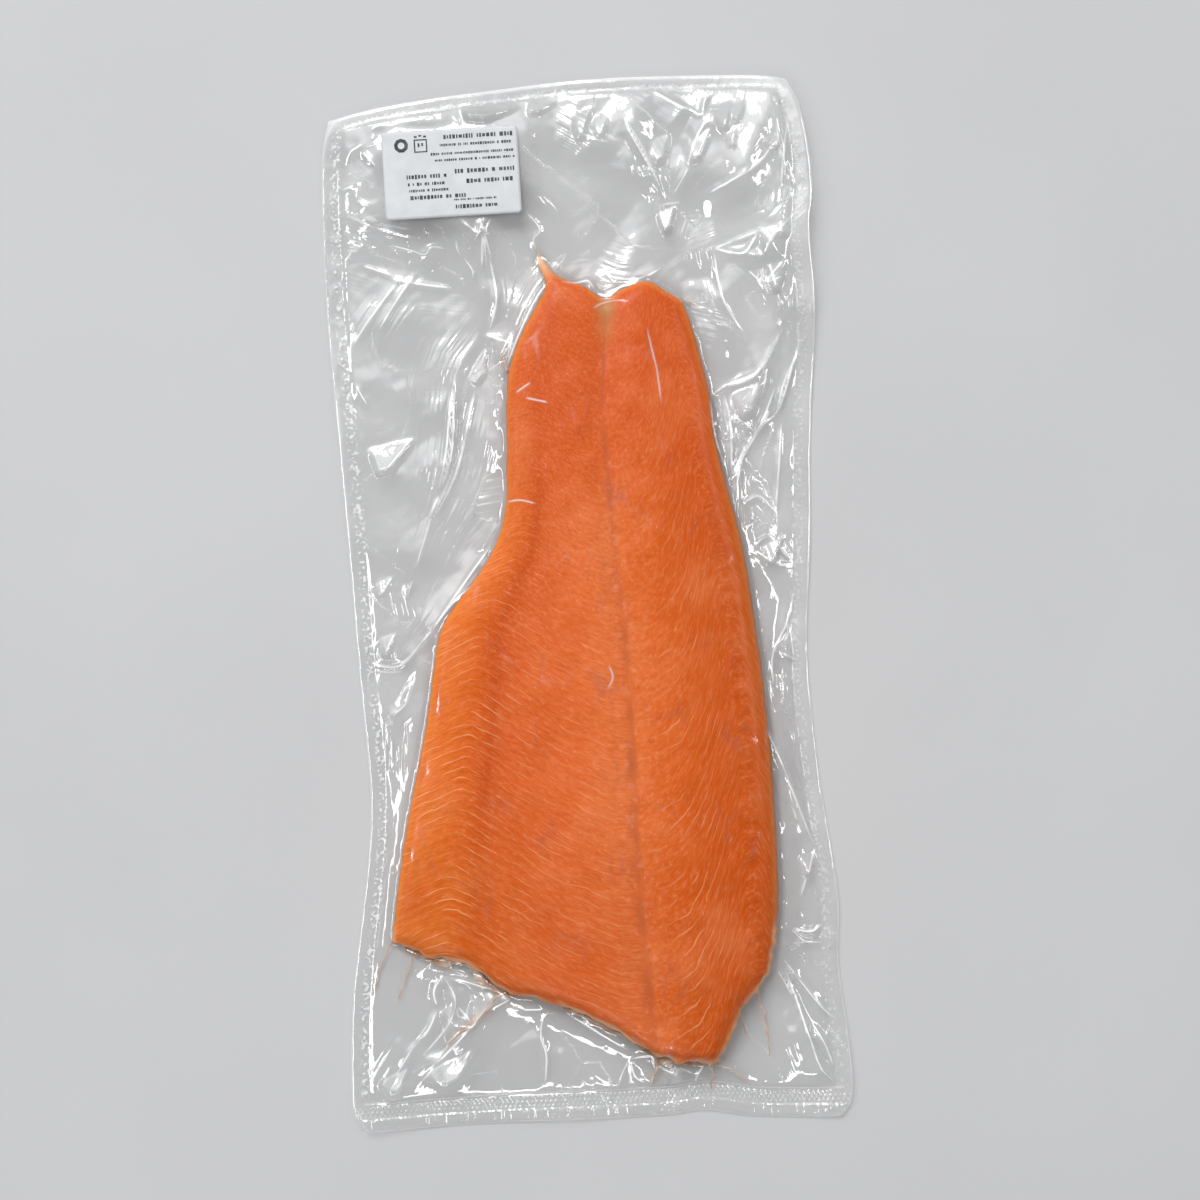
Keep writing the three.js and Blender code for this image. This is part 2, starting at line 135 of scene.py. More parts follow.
def smooth_line(knots, count):
    """A centripetal Catmull-Rom curve through the knots, as count + 1 evenly spaced points."""
    points = [np.array(k, float) for k in knots]
    points = [2 * points[0] - points[1], *points, 2 * points[-1] - points[-2]]
    dense = []
    for near in zip(points, points[1:], points[2:], points[3:]):
        at = np.cumsum([0.0, *(np.linalg.norm(q - p) ** 0.5 for p, q in zip(near, near[1:]))])

        def mixed(t, first, second, start, end):
            whole = at[end] - at[start]
            return (at[end] - t) / whole * first + (t - at[start]) / whole * second

        for t in np.linspace(at[1], at[2], 16, endpoint=False):
            a1, a2, a3 = (mixed(t, near[i], near[i + 1], i, i + 1) for i in range(3))
            b1, b2 = mixed(t, a1, a2, 0, 2), mixed(t, a2, a3, 1, 3)
            dense.append(mixed(t, b1, b2, 1, 2))
    dense = np.array([*dense, points[-2]])
    steps = np.concatenate([[0], np.cumsum(np.linalg.norm(np.diff(dense, axis=0), axis=1))])
    even = np.linspace(0, steps[-1], count + 1)
    return np.stack([np.interp(even, steps, dense[:, i]) for i in range(2)], axis=1)


def coordinates(piece):
    """The vertices of a piece in millimetres."""
    flat = np.zeros(len(piece.data.vertices) * 3)
    piece.data.vertices.foreach_get("co", flat)
    return flat.reshape(-1, 3) / MM


def set_coordinates(piece, points):
    piece.data.vertices.foreach_set("co", (points * MM).ravel())
    piece.data.update()


def set_attributes(piece, **numbers):
    """Numbers for each vertex, which the materials read."""
    for name, values in numbers.items():
        made = piece.data.attributes.new(name, "FLOAT", "POINT")
        made.data.foreach_set("value", np.asarray(values, np.float32))


def soft_step(low, high, value):
    t = np.clip((value - low) / (high - low), 0, 1)
    return t * t * (3 - 2 * t)


def turned(x, y, angle):
    """A place turned round the origin."""
    return x * math.cos(angle) - y * math.sin(angle), x * math.sin(angle) + y * math.cos(angle)


def tree_of(piece):
    return BVHTree.FromObject(piece, bpy.context.evaluated_depsgraph_get())


def height_from(tree, points, missing, above=True):
    """Where a plumb line through each point meets the solid, from above or from below."""
    start, way = (ABOVE, Vector((0, 0, -1))) if above else (BELOW, Vector((0, 0, 1)))
    found = np.empty(len(points))
    for i, (x, y) in enumerate(points):
        hit = tree.ray_cast(Vector((x * MM, y * MM, start)), way)[0]
        found[i] = missing if hit is None else hit.z / MM
    return found


def unit_grid(name, columns, rows):
    """A level grid. Gives the piece, and how far across and up each vertex lies, from 0 to 1."""
    bpy.ops.mesh.primitive_grid_add(x_subdivisions=columns, y_subdivisions=rows, size=1, location=(0, 0, 0))
    piece = bpy.context.object
    piece.name = piece.data.name = name
    points = coordinates(piece) * MM + 0.5
    return piece, points[:, 0], points[:, 1]


def select(*pieces):
    """Selects these pieces alone and makes the first one active."""
    bpy.ops.object.select_all(action="DESELECT")
    for piece in pieces:
        piece.select_set(True)
    bpy.context.view_layer.objects.active = pieces[0]


def joined(pieces, name):
    select(*pieces)
    bpy.ops.object.join()
    whole = bpy.context.object
    whole.name = whole.data.name = name
    return whole


@contextmanager
def editing_all():
    """Edit mode, with the whole mesh of the active piece selected."""
    bpy.ops.object.mode_set(mode="EDIT")
    bpy.ops.mesh.select_all(action="SELECT")
    yield
    bpy.ops.object.mode_set(mode="OBJECT")


def thicken(piece, thickness, offset=-1):
    """Makes a solid of a sheet, below it (-1) or above it (1)."""
    skin = piece.modifiers.new("skin", "SOLIDIFY")
    skin.thickness, skin.offset = thickness * MM, offset
    bpy.ops.object.modifier_apply(modifier=skin.name)


def at_share(line, share):
    """The places at these shares of a line's length, where its points are evenly spaced."""
    place = share * (len(line) - 1)
    return np.stack([np.interp(place, np.arange(len(line)), line[:, i]) for i in (0, 1)], axis=1)


def sideways(way):
    """The unit vectors to the right of a line's course, one for each of its points."""
    slope = np.gradient(way, axis=0)
    slope /= np.linalg.norm(slope, axis=1)[:, None]
    return np.column_stack([slope[:, 1], -slope[:, 0]])


def cellular(points, size, seed, stretch=1.0):
    """Ridges between random cells: 1 on the border of two cells, falling to 0 inside them."""
    maker = np.random.default_rng(seed)
    low, high = points.min(0) - size, points.max(0) + size
    count = int(np.prod((high - low) / size))
    seeds = maker.uniform(low, high, (count, 2))
    first = second = np.full(len(points), FAR)
    for seed_x, seed_y in seeds:
        apart = np.hypot(points[:, 0] - seed_x, (points[:, 1] - seed_y) / stretch)
        second = np.minimum(second, np.maximum(apart, first))
        first = np.minimum(first, apart)
    return np.clip(1 - (second - first) / (0.55 * size), 0, 1)


def waves(points, length, seed, count=14):
    """Gentle random swell of about that wavelength, mostly between -1 and 1."""
    maker = np.random.default_rng(seed)
    total = np.zeros(len(points))
    for _ in range(count):
        angle, phase = maker.uniform(0, math.tau, 2)
        pitch = length * maker.uniform(0.7, 1.5)
        along = points[:, 0] * math.cos(angle) + points[:, 1] * math.sin(angle)
        total += np.sin(along / pitch * math.tau + phase)
    return total / math.sqrt(count) / 1.6


# ----- Flesh -----

# How far a band has climbed at that share of the way from the lateral line to the edge, where the
# belly and the back have these widths.
BELLY_WIDTH, BACK_WIDTH = 95, 58
BELLY_RISE = [
    (0, 0), (0.1, 1), (0.3, 9.5), (0.55, 24), (0.7, 33), (0.76, 36), (0.78, 36.4), (0.8, 36), (0.86, 33.5),
    (1.0, 26.5), (1.2, 16),
]
BACK_RISE = [
    (0, 0), (0.2, 2.5), (0.34, 8), (0.44, 16), (0.54, 28), (0.64, 44), (0.76, 60), (0.86, 62), (1.0, 44),
    (1.2, 16),
]


def band_phase(points):
    """How far along the fillet each point lies, counted in muscle bands.

    On the belly side a band climbs from the lateral line to a peak near the flank and
    falls again to the edge. On the back side it leaves the line level, sweeps up and
    falls at the edge.
    """
    x, y = points[:, 0], points[:, 1]
    middle = np.interp(y, LATERAL_Y, LATERAL_X)
    left = middle - np.interp(y, LEFT_Y, LEFT_X)
    right = np.interp(y, RIGHT_Y, RIGHT_X) - middle
    share = np.where(x < middle, (x - middle) / left, (x - middle) / right)
    belly = np.interp(-share, *zip(*BELLY_RISE)) * left / BELLY_WIDTH
    back = np.interp(share, *zip(*BACK_RISE)) * right / BACK_WIDTH
    rise = np.where(x < middle, belly, back)
    pitch = np.where(x < middle, BELLY_PITCH, BACK_PITCH)
    return (y - rise) / pitch, share


def make_flesh():
    """The fillet: its CAD solid made smooth, with the low relief of its muscle bands."""
    flesh = frame["nodes"]["fillet"].copy()
    flesh.data = flesh.data.copy()
    flesh.name = flesh.data.name = "flesh"
    flesh.parent = None
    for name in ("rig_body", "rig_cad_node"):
        if name in flesh:
            del flesh[name]
    bpy.context.scene.collection.objects.link(flesh)
    select(flesh)
    with editing_all():
        bpy.ops.mesh.remove_doubles(threshold=WELD)
        bpy.ops.mesh.tris_convert_to_quads()
    round_off = flesh.modifiers.new("round", "SUBSURF")
    round_off.levels = round_off.render_levels = 2
    bpy.ops.object.modifier_apply(modifier=round_off.name)
    bpy.ops.object.shade_smooth()

    points = coordinates(flesh)
    normals = np.zeros(len(points) * 3)
    flesh.data.vertices.foreach_get("normal", normals)
    normals = normals.reshape(-1, 3)
    phase, share = band_phase(points)
    walls = points[np.abs(normals[:, 2]) < 0.45]
    finder = KDTree(len(walls))
    for i, (x, y, _) in enumerate(walls):
        finder.insert(Vector((x, y, 0)), i)
    finder.balance()
    edge = np.array([finder.find(Vector((x, y, 0)))[2] for x, y, _ in points])

    top = soft_step(0.5, 0.8, normals[:, 2]) * soft_step(2, 9, edge)
    banded = soft_step(0.3, 0.7, np.abs(share)) * soft_step(40, -40, points[:, 1])
    relief = -0.13 * np.cos(math.tau * phase) * banded + 0.22 * waves(points[:, :2], 17, 5)
    points += normals * (relief * top)[:, None]
    # the cut edge is ragged, the long edges nearly straight
    wall = 1 - soft_step(0.5, 0.95, np.abs(normals[:, 2]))
    ragged = 0.2 + 0.8 * soft_step(-128, -140, points[:, 1])
    ragged *= 0.9 * waves(points[:, :2], 9, 55) + 0.6 * waves(points[:, :2], 4, 56)
    points[:, :2] += normals[:, :2] * (ragged * wall)[:, None]
    set_coordinates(flesh, points)

    set_attributes(flesh, phase=phase, share=share, edge=edge, along=points[:, 1])
    return flesh


# ----- Film -----

# Kinds of fold: how high the film stands along the crest, and how far the fold reaches to its left and right.
SHARP, MILD, BROAD = (0.8, 1.7, 1.9), (2.0, 3.4, 3.8), (3.2, 6.5, 7.5)
# A crease stands on top of each crest, so high on a sharp fold, and with this height and reach on the others.
SHARP_CREASE, CREASE = 0.55, (0.35, 1.0, 1.4)
# The front film's folds, each with the points of its crest.
FOLDS = [
    # the rim of the tail, and creases over the flesh
    (SHARP, [(-8.2, 135.8), (-13.2, 130.5), (-17.9, 122.7), (-21.9, 114.9), (-24.7, 108.7), (-28.4, 99.6)]),
    (SHARP, [(-11.5, 137), (-16, 131.6), (-20.5, 123.8), (-24, 116.5)]),
    (SHARP, [(-4.5, 134.4), (2.7, 133.9), (6.9, 134.8), (10.2, 130.2)]),
    (SHARP, [(10.2, 130.2), (14.7, 127.6), (20.6, 131.4), (27.4, 134), (32.5, 135.2)]),
    (SHARP, [(8.5, 122.2), (12.6, 124.6), (18.9, 125.5), (23.9, 124.7)]),
    (SHARP, [(-24.7, 88.5), (-18.5, 92.5)]),
    (SHARP, [(-20.7, 86.2), (-11.5, 83.9)]),
    (SHARP, [(30.8, 114), (32.4, 104.7), (34.1, 96.5), (35.6, 81)]),
    (SHARP, [(-30.7, 43.3), (-25, 43.9), (-18.1, 42.1)]),
    (SHARP, [(9.4, -25.9), (11, -31), (7.9, -36.8)]),
    (SHARP, [(-11.7, -172.2), (0, -180.2), (11.6, -187.3)]),
    # the empty upper end, left of the fillet's tail
    (SHARP, [(-92, 188), (-90, 192), (-85, 195)]),
    (SHARP, [(-85, 192), (-79, 185)]),
    (SHARP, [(-94, 177), (-89, 178)]),
    (SHARP, [(-88, 172), (-83, 169)]),
    (MILD, [(-76, 153), (-66, 150), (-60, 148), (-58, 151), (-51, 150)]),
    (SHARP, [(-47, 154), (-47, 150), (-41, 141), (-41, 137)]),
    (MILD, [(-47, 164), (-38, 156), (-36, 155)]),
    (MILD, [(-36, 155), (-32, 163)]),
    (MILD, [(-36, 155), (-37, 143)]),
    (SHARP, [(-87, 145), (-74, 140)]),
    (SHARP, [(-75, 139), (-63, 136), (-49, 134)]),
    (SHARP, [(-73, 137), (-82, 126), (-93, 111)]),
    (SHARP, [(-19, 166), (-12, 156), (-15, 153), (-14, 148)]),
    # the empty upper end, right of the tail
    (MILD, [(6, 197), (13, 193), (19, 192)]),
    (BROAD, [(25, 201), (27, 195), (37, 176), (40, 169)]),
    (MILD, [(25, 201), (32, 189), (39, 172)]),
    (MILD, [(38, 165), (40, 155)]),
    (MILD, [(44, 165), (40, 155)]),
    (MILD, [(38, 165), (47, 166)]),
    (MILD, [(51, 180), (44, 169)]),
    (MILD, [(37, 213), (50, 205), (57, 202)]),
    (SHARP, [(61, 211), (57, 203)]),
    (SHARP, [(87, 189), (79, 179), (59, 169)]),
    (MILD, [(88, 201), (89, 181)]),
    (MILD, [(93, 199), (91, 187), (89, 170)]),
    (MILD, [(99, 201), (102, 175), (100, 164)]),
    (MILD, [(91, 180), (99, 165)]),
    (BROAD, [(100, 164), (91, 156), (83, 147), (81, 142)]),
    (MILD, [(60, 146), (79, 152)]),
    (MILD, [(79, 152), (72, 143), (60, 146)]),
    (MILD, [(60, 145), (63, 125), (70, 112)]),
    (MILD, [(80, 130), (74, 136)]),
    (MILD, [(80, 130), (79, 137)]),
    (MILD, [(80, 130), (89, 140)]),
    (MILD, [(80, 130), (92, 134)]),
    (MILD, [(80, 130), (82, 126)]),
    (SHARP, [(15, 137), (20, 135), (30, 135), (38, 139)]),
    (SHARP, [(13, 129), (23, 132), (32, 133)]),
    # down the left side
    (SHARP, [(-92, 95), (-87, 86)]),
    (BROAD, [(-39, 114), (-49, 100), (-56, 60), (-62, 39)]),
    (SHARP, [(-42, 91), (-51, 57), (-61, 38)]),
    (MILD, [(-37, 114), (-26, 110)]),
    (MILD, [(-26, 110), (-30, 104)]),
    (MILD, [(-82, -13), (-78, -22), (-65, -10), (-54, 3), (-45, 10)]),
    (SHARP, [(-75, 11), (-74, 5)]),
    (MILD, [(-71, -27), (-76, -39), (-82, -44)]),
    # down the right side
    (MILD, [(94, 115), (94, 104), (87, 88), (84, 76)]),
    (MILD, [(101, 113), (95, 105)]),
    (BROAD, [(87, 111), (75, 92), (63, 88)]),
    (MILD, [(84, 88), (77, 72), (65, 52)]),
    (SHARP, [(62, 85), (64, 76), (64, 52)]),
    (SHARP, [(64, 76), (70, 73), (74, 69)]),
    (SHARP, [(86, 73), (84, 54), (82, 36)]),
    (SHARP, [(68, 39), (75, 42), (81, 36)]),
    (MILD, [(72, 21), (78, 25), (87, 15)]),
    (MILD, [(72, 20), (82, 13), (88, 13)]),
    (SHARP, [(79, 23), (82, 13)]),
    (SHARP, [(84, 21), (90, 11)]),
    (MILD, [(89, 4), (85, -11), (78, -25), (78, -38)]),
    (MILD, [(85, -11), (90, -27), (80, -23)]),
    (BROAD, [(73, -53), (80, -70), (91, -101), (93, -106)]),
    (SHARP, [(73, -53), (80, -70), (91, -101), (93, -106)]),
    (MILD, [(93, -106), (86, -126)]),
    (MILD, [(94, -110), (102, -129)]),
    (SHARP, [(95, 20), (94, -6), (94, -35), (95, -78), (97, -107)]),
    (MILD, [(81, -139), (87, -145), (95, -146)]),
    (MILD, [(82, -139), (90, -141), (95, -138)]),
    (MILD, [(77, -151), (94, -174), (104, -183)]),
    (MILD, [(78, -155), (87, -184), (92, -199), (98, -205)]),
    (SHARP, [(88, -178), (94, -189), (97, -198)]),
    (SHARP, [(75, -156), (81, -168)]),
    (MILD, [(101, 113), (94.6, 104), (83.8, 76.2), (80.3, 74), (67.4, 54.6), (65.9, 38.7)]),
    (SHARP, [(87.7, 111.8), (77.4, 94.6), (62.9, 88.8), (55.9, 84.1)]),
    (SHARP, [(55.9, 84.1), (57.8, 66.3), (61.5, 54)]),
    (SHARP, [(64.9, 76.2), (71.4, 71.7), (74.7, 69)]),
    (SHARP, [(70.3, 63.3), (65.7, 53.8)]),
    (SHARP, [(80.3, 95.3), (79.3, 89), (77.3, 82.4)]),
    (SHARP, [(58.9, 115.5), (65.5, 113.5)]),
    (SHARP, [(99.2, 94.1), (98.4, 80), (97, 60.6)]),
    # more on the left, with the crease along the flesh
    (MILD, [(-50.5, 93), (-53.4, 62.3), (-62.7, 39.1)]),
    (BROAD, [(-62, 39), (-68, 22), (-74, 5)]),
    (SHARP, [(-37.5, 26), (-54.8, 3.5), (-64, -9)]),
    (SHARP, [(-87, -8), (-90.3, -20.7), (-78.2, -23.3), (-67.7, -13.6)]),
    (SHARP, [(-82.4, -45.4), (-83, -61.8)]),
    (SHARP, [(-73.4, -29.4), (-80.1, -40.5)]),
    (SHARP, [(-81, 118), (-70, 134), (-63.2, 142.6)]),
    (SHARP, [(-33.7, 146.4), (-31.4, 128.7), (-34.8, 116.2)]),
    (MILD, [(-37.2, 162.5), (-35, 154.9), (-32.9, 144.7)]),
    (MILD, [(59, 199), (54, 191), (50.5, 181)]),
    (SHARP, [(51.5, 206), (56.7, 201.3), (59.3, 212)]),
    (SHARP, [(94, 212.5), (98.4, 199.6), (102, 176)]),
    # below the cut end
    (MILD, [(-65, -153), (-69, -160), (-68, -166)]),
    (BROAD, [(-65, -153), (-60, -164), (-63, -173), (-75, -187)]),
    (SHARP, [(-68, -168), (-72, -176), (-80, -185), (-86, -194)]),
    (BROAD, [(-43, -162), (-53, -174), (-67, -188), (-79, -201)]),
    (SHARP, [(-37, -164), (-41, -166), (-45, -168)]),
    (SHARP, [(-63, -154), (-44, -160)]),
    (SHARP, [(-59, -167), (-54, -173)]),
    (MILD, [(-24, -172), (-25, -181), (-23, -188), (-24, -201)]),
    (SHARP, [(-32, -169), (-24, -169)]),
    (MILD, [(12, -191), (9, -196), (6, -205)]),
    (MILD, [(12, -191), (21, -190), (22, -194)]),
    (SHARP, [(12, -192), (14, -199), (18, -202)]),
    (MILD, [(25, -195), (32, -200), (30, -205)]),
    (MILD, [(32, -195), (38, -198)]),
    (MILD, [(43, -194), (39, -201), (41, -214)]),
    (MILD, [(30, -194), (33, -203), (30, -216)]),
    (MILD, [(1, -203), (8, -208), (6, -216)]),
    (MILD, [(20, -204), (17, -210), (20, -216)]),
    (SHARP, [(-4, -206), (0, -216)]),
    (SHARP, [(24, -205), (26, -217)]),
    (SHARP, [(-20, -209), (-17, -216)]),
    (SHARP, [(60, -208), (58, -217)]),
    (SHARP, [(-60, -208), (-63, -217)]),
]

# Facets that catch the light: middle, half sizes along and across the fall, the way the slope faces in
# degrees from +X, and its steepness.
FACETS = [
    ((-33, 208), 5, 16, 80, 0.42), ((-10, 209), 4, 8, 80, 0.4), ((7, 201), 6, 6, 110, 0.35),
    ((15, 200), 5, 6, 110, 0.35), ((39, 189), 5, 8, 120, 0.42), ((41, 160), 5, 6, 115, 0.4),
    ((55, 190), 6, 8, 110, 0.3), ((66, 201), 5, 6, 120, 0.42), ((72, 203), 4, 5, 110, 0.4),
    ((69, 192), 4, 4, 120, 0.4), ((91, 156), 5, 7, 100, 0.4), ((-79, 65), 6, 12, 100, 0.48),
    ((-41, 100), 4, 12, 140, 0.35), ((72, 83), 6, 9, 110, 0.48), ((100, -143), 5, 8, 100, 0.62),
    ((-87, -199), 5, 8, 115, 0.66), ((-63, -192), 5, 18, 115, 0.66), ((11, -210), 5, 9, 90, 0.62),
    ((86, 135), 6, 6, 110, 0.38), ((-36, 161), 4, 4, 110, 0.35), ((-30, 109), 4, 5, 110, 0.4),
    ((80, 20), 5, 6, 110, 0.43), ((85, -20), 5, 6, 130, 0.43), ((90, -112), 4, 5, 110, 0.59),
    ((33, -209), 6, 7, 90, 0.62), ((95, -211), 4, 5, 100, 0.62),
    ((91, 209), 3, 6, 100, 0.5), ((-83, -14), 4, 5, 110, 0.5), ((-84, 10), 3, 6, 110, 0.5),
    ((62, 70), 3, 10, 30, 0.4), ((95, 175), 3, 7, 130, 0.45), ((87, 190), 3, 7, 130, 0.45),
    ((3, -205), 4, 6, 110, 0.6), ((22, -210), 4, 5, 110, 0.6),
]


def fold_height(points, crest, height, reach_left, reach_right):
    """A crease with a sharp crest that fades at its two ends. Gives the height at each point, its distance
    from the crest, how far it is to the left of the crest's course, and how whole the crest is there."""
    line = smooth_line(crest, 3 * len(crest)) if len(crest) > 2 else np.linspace(*map(np.array, crest), 5)
    lengths = np.linalg.norm(np.diff(line, axis=0), axis=1)
    total = lengths.sum()
    best, (along, side) = np.full(len(points), FAR), np.zeros((2, len(points)))
    start = 0.0
    for (x0, y0), (x1, y1), length in zip(line, line[1:], lengths):
        ux, uy = (x1 - x0) / length, (y1 - y0) / length
        dx, dy = points[:, 0] - x0, points[:, 1] - y0
        t = np.clip(dx * ux + dy * uy, 0, length)
        apart = np.hypot(dx - t * ux, dy - t * uy)
        nearer = apart < best
        best[nearer] = apart[nearer]
        along[nearer] = (start + t[nearer]) / total
        side[nearer] = (ux * dy - uy * dx)[nearer]
        start += length
    reach = np.where(side > 0, reach_left, reach_right)
    fade, whole = np.clip(np.sin(np.pi * np.array([np.clip(along, 0.04, 0.96), along])) * 2.2, 0, 1)
    return height * fade * np.clip(1 - best / reach, 0, 1) ** 1.25, best, side, whole


def facet_height(points, middle, fall, width, facing, steepness):
    """A flat three-cornered slope that faces one way and drops off sharply behind."""
    down, across = turned(points[:, 0] - middle[0], points[:, 1] - middle[1], -math.radians(facing))
    slope = steepness * (fall - down)
    behind = np.clip((down + fall) / (0.35 * fall) + 1, 0, 1)
    narrowing = 0.3 + 0.7 * np.clip((down + fall) / (2 * fall), 0, 1)
    ends = np.clip((1 - np.abs(across + 0.5 * down) / (1.15 * width * narrowing)) * 3, 0, 1)
    return np.where(down < -fall, 2 * steepness * fall * behind, np.maximum(slope, 0)) * ends


SHEET_LOW, SHEET_HIGH, OVER_SHEET = (-106, -220), (106, 220), 50
CORNER_TRIES, CORNERS_APART = 3200, 10


def crumpled_sheet(points, hold):
    """Height of a stiff film that has been creased: flat facets between the folds and a scatter of other
    corners. Hold gives, for a list of places, how much each may rise."""
    draw = np.random.default_rng(77)
    corners, levels, edges = [], [], []
    for (height, left, right), crest in FOLDS:
        for i, (x, y) in enumerate(crest):
            corners.append((x, y))
            levels.append(height * (1.0 if 0 < i < len(crest) - 1 else 0.45) * draw.uniform(0.8, 1.2))
            if i:
                edges.append((len(corners) - 2, len(corners) - 1))
        for (x0, y0), (x1, y1) in zip(crest, crest[1:]):
            length = math.hypot(x1 - x0, y1 - y0)
            off = (right if draw.random() < 0.6 else -left) / length
            corners.append(((x0 + x1) / 2 + (y1 - y0) * off, (y0 + y1) / 2 - (x1 - x0) * off))
            levels.append(draw.uniform(-0.1, 0.2))

    def nearest_corner(x, y):
        return min((math.hypot(x - corner[0], y - corner[1]), i) for i, corner in enumerate(corners))

    for _ in range(CORNER_TRIES):
        place = tuple(draw.uniform(SHEET_LOW, SHEET_HIGH))
        if nearest_corner(*place)[0] > CORNERS_APART:
            corners.append(place)
            levels.append(draw.uniform(-0.2, 0.9))
    levels = np.array(levels) * hold(np.array(corners))
    verts, _, faces, origins = geometry.delaunay_2d_cdt([Vector(c) for c in corners], edges, [], 0, 0.01)[:4]
    heights = [levels[origin[0] if origin else nearest_corner(*v)[1]] for v, origin in zip(verts, origins)]
    sheet = BVHTree.FromPolygons([(*v, h) for v, h in zip(verts, heights)], faces)
    found = np.zeros(len(points))
    for i, (x, y) in enumerate(points):
        hit = sheet.ray_cast(Vector((x, y, OVER_SHEET)), Vector((0, 0, -1)))[0]
        found[i] = 0.0 if hit is None else hit.z
    return found


class PouchGrid:
    """A grid stretched over the pouch's outline. Flat holds the points' places, low and border their
    distances to the bottom edge and to the nearest one, and seal their place across the seal, 1 at its inner
    side."""

    def __init__(self, name, step):
        self.piece, u, v = unit_grid(name, *(round(length / step) for length in POUCH_SPAN))
        top, bottom = smooth_line(POUCH_TOP, 600), smooth_line(POUCH_BOTTOM, 600)[::-1]
        left, right = smooth_line(POUCH_LEFT, 1200), smooth_line(POUCH_RIGHT, 1200)[::-1]

        uu, vv = u[:, None], v[:, None]
        self.flat = (1 - vv) * at_share(bottom, u) + vv * at_share(top, u)
        self.flat += (1 - uu) * at_share(left, v) + uu * at_share(right, v)
        self.flat -= (1 - vv) * ((1 - uu) * bottom[0] + uu * bottom[-1])
        self.flat -= vv * ((1 - uu) * top[0] + uu * top[-1])
        self.order = np.lexsort((np.round(u, 6), np.round(v, 6)))
        self.across = len(np.unique(np.round(u, 6)))
        side = np.minimum(u, 1 - u) * POUCH_SPAN[0]
        self.low, high = v * POUCH_SPAN[1], (1 - v) * POUCH_SPAN[1]
        self.seal = np.minimum(np.minimum(side / SIDE_SEAL, self.low / BOTTOM_SEAL), high / TOP_SEAL)
        self.border = np.minimum(side, np.minimum(self.low, high))

    def blurred(self, values, cells):
        """The grid's values smoothed over that many cells."""
        table = values[self.order].reshape(-1, self.across)
        reach = int(3 * cells)
        weights = np.exp(-0.5 * (np.arange(-reach, reach + 1) / cells) ** 2)
        weights /= weights.sum()
        for axis in (0, 1):
            pad = [(reach, reach) if a == axis else (0, 0) for a in (0, 1)]
            wide = np.pad(table, pad, mode="edge")
            size = table.shape[axis]
            table = sum(w * np.take(wide, range(i, i + size), axis=axis) for i, w in enumerate(weights))
        result = np.empty_like(values)
        result[self.order] = table.ravel()
        return result

    def raised(self, heights):
        """The piece, with its points at these heights."""
        set_coordinates(self.piece, np.column_stack([self.flat, heights]))
        bpy.ops.object.shade_smooth()
        return self.piece


def make_back_film():
    grid = PouchGrid("back_film", BACK_STEP)
    lift = grid.blurred(height_from(pouch_tree, grid.flat * INSIDE, 0.0, above=False), 1.6)
    slack = soft_step(4, 18, grid.border) * soft_step(0.02, 0.3, lift)
    return grid.raised(lift + FILM_LIFT + 0.25 * cellular(grid.flat, 26, 11, 1.6) * slack)


def front_folds(grid):
    """Height of the creased film and, for each point, its distance from the nearest crest, the same with a
    sign for the side, and how crisp the crease is there."""
    flat = grid.flat

    def hold(places):
        calm = 0.4 + 0.6 * soft_step(-0.35, 0.35, waves(places, 70, 73))
        return calm * (0.25 + 0.75 * (1 - label_share(places)))

    slack = 1 + 0.5 * soft_step(110, 170, flat[:, 1]) * soft_step(-60, 40, flat[:, 0])
    folds = grid.blurred(crumpled_sheet(flat, hold) * slack, 0.55)
    nearest, (lay, crisp) = np.full(len(flat), FAR), np.zeros((2, len(flat)))
    draw = random.Random(9)
    for (height, left, right), crest in FOLDS:
        size = (SHARP_CREASE, left, right) if height < 1 else CREASE
        rise, apart, side, whole = fold_height(flat, crest, *size)
        folds += rise
        lay = np.where(apart < nearest, side, lay)
        crisp = np.where(apart < nearest, whole * draw.uniform(0.6, 1.0), crisp)
        nearest = np.minimum(nearest, apart)
    for facet in FACETS:
        folds = np.maximum(folds, facet_height(flat, *facet))
    crisp *= (1 - soft_step(1.0, 2.0, nearest)) * soft_step(-1.0, -0.2, waves(flat, 16, 35))
    return folds, nearest, np.where(grid.low < BOTTOM_SEAL, flat[:, 0], lay), crisp


def rise_at(place, distance, width):
    """A rounded rise over an edge or a line: 1 where the distance is the place, less on both sides of it."""
    return np.exp(-(((distance - place) / width) ** 2))


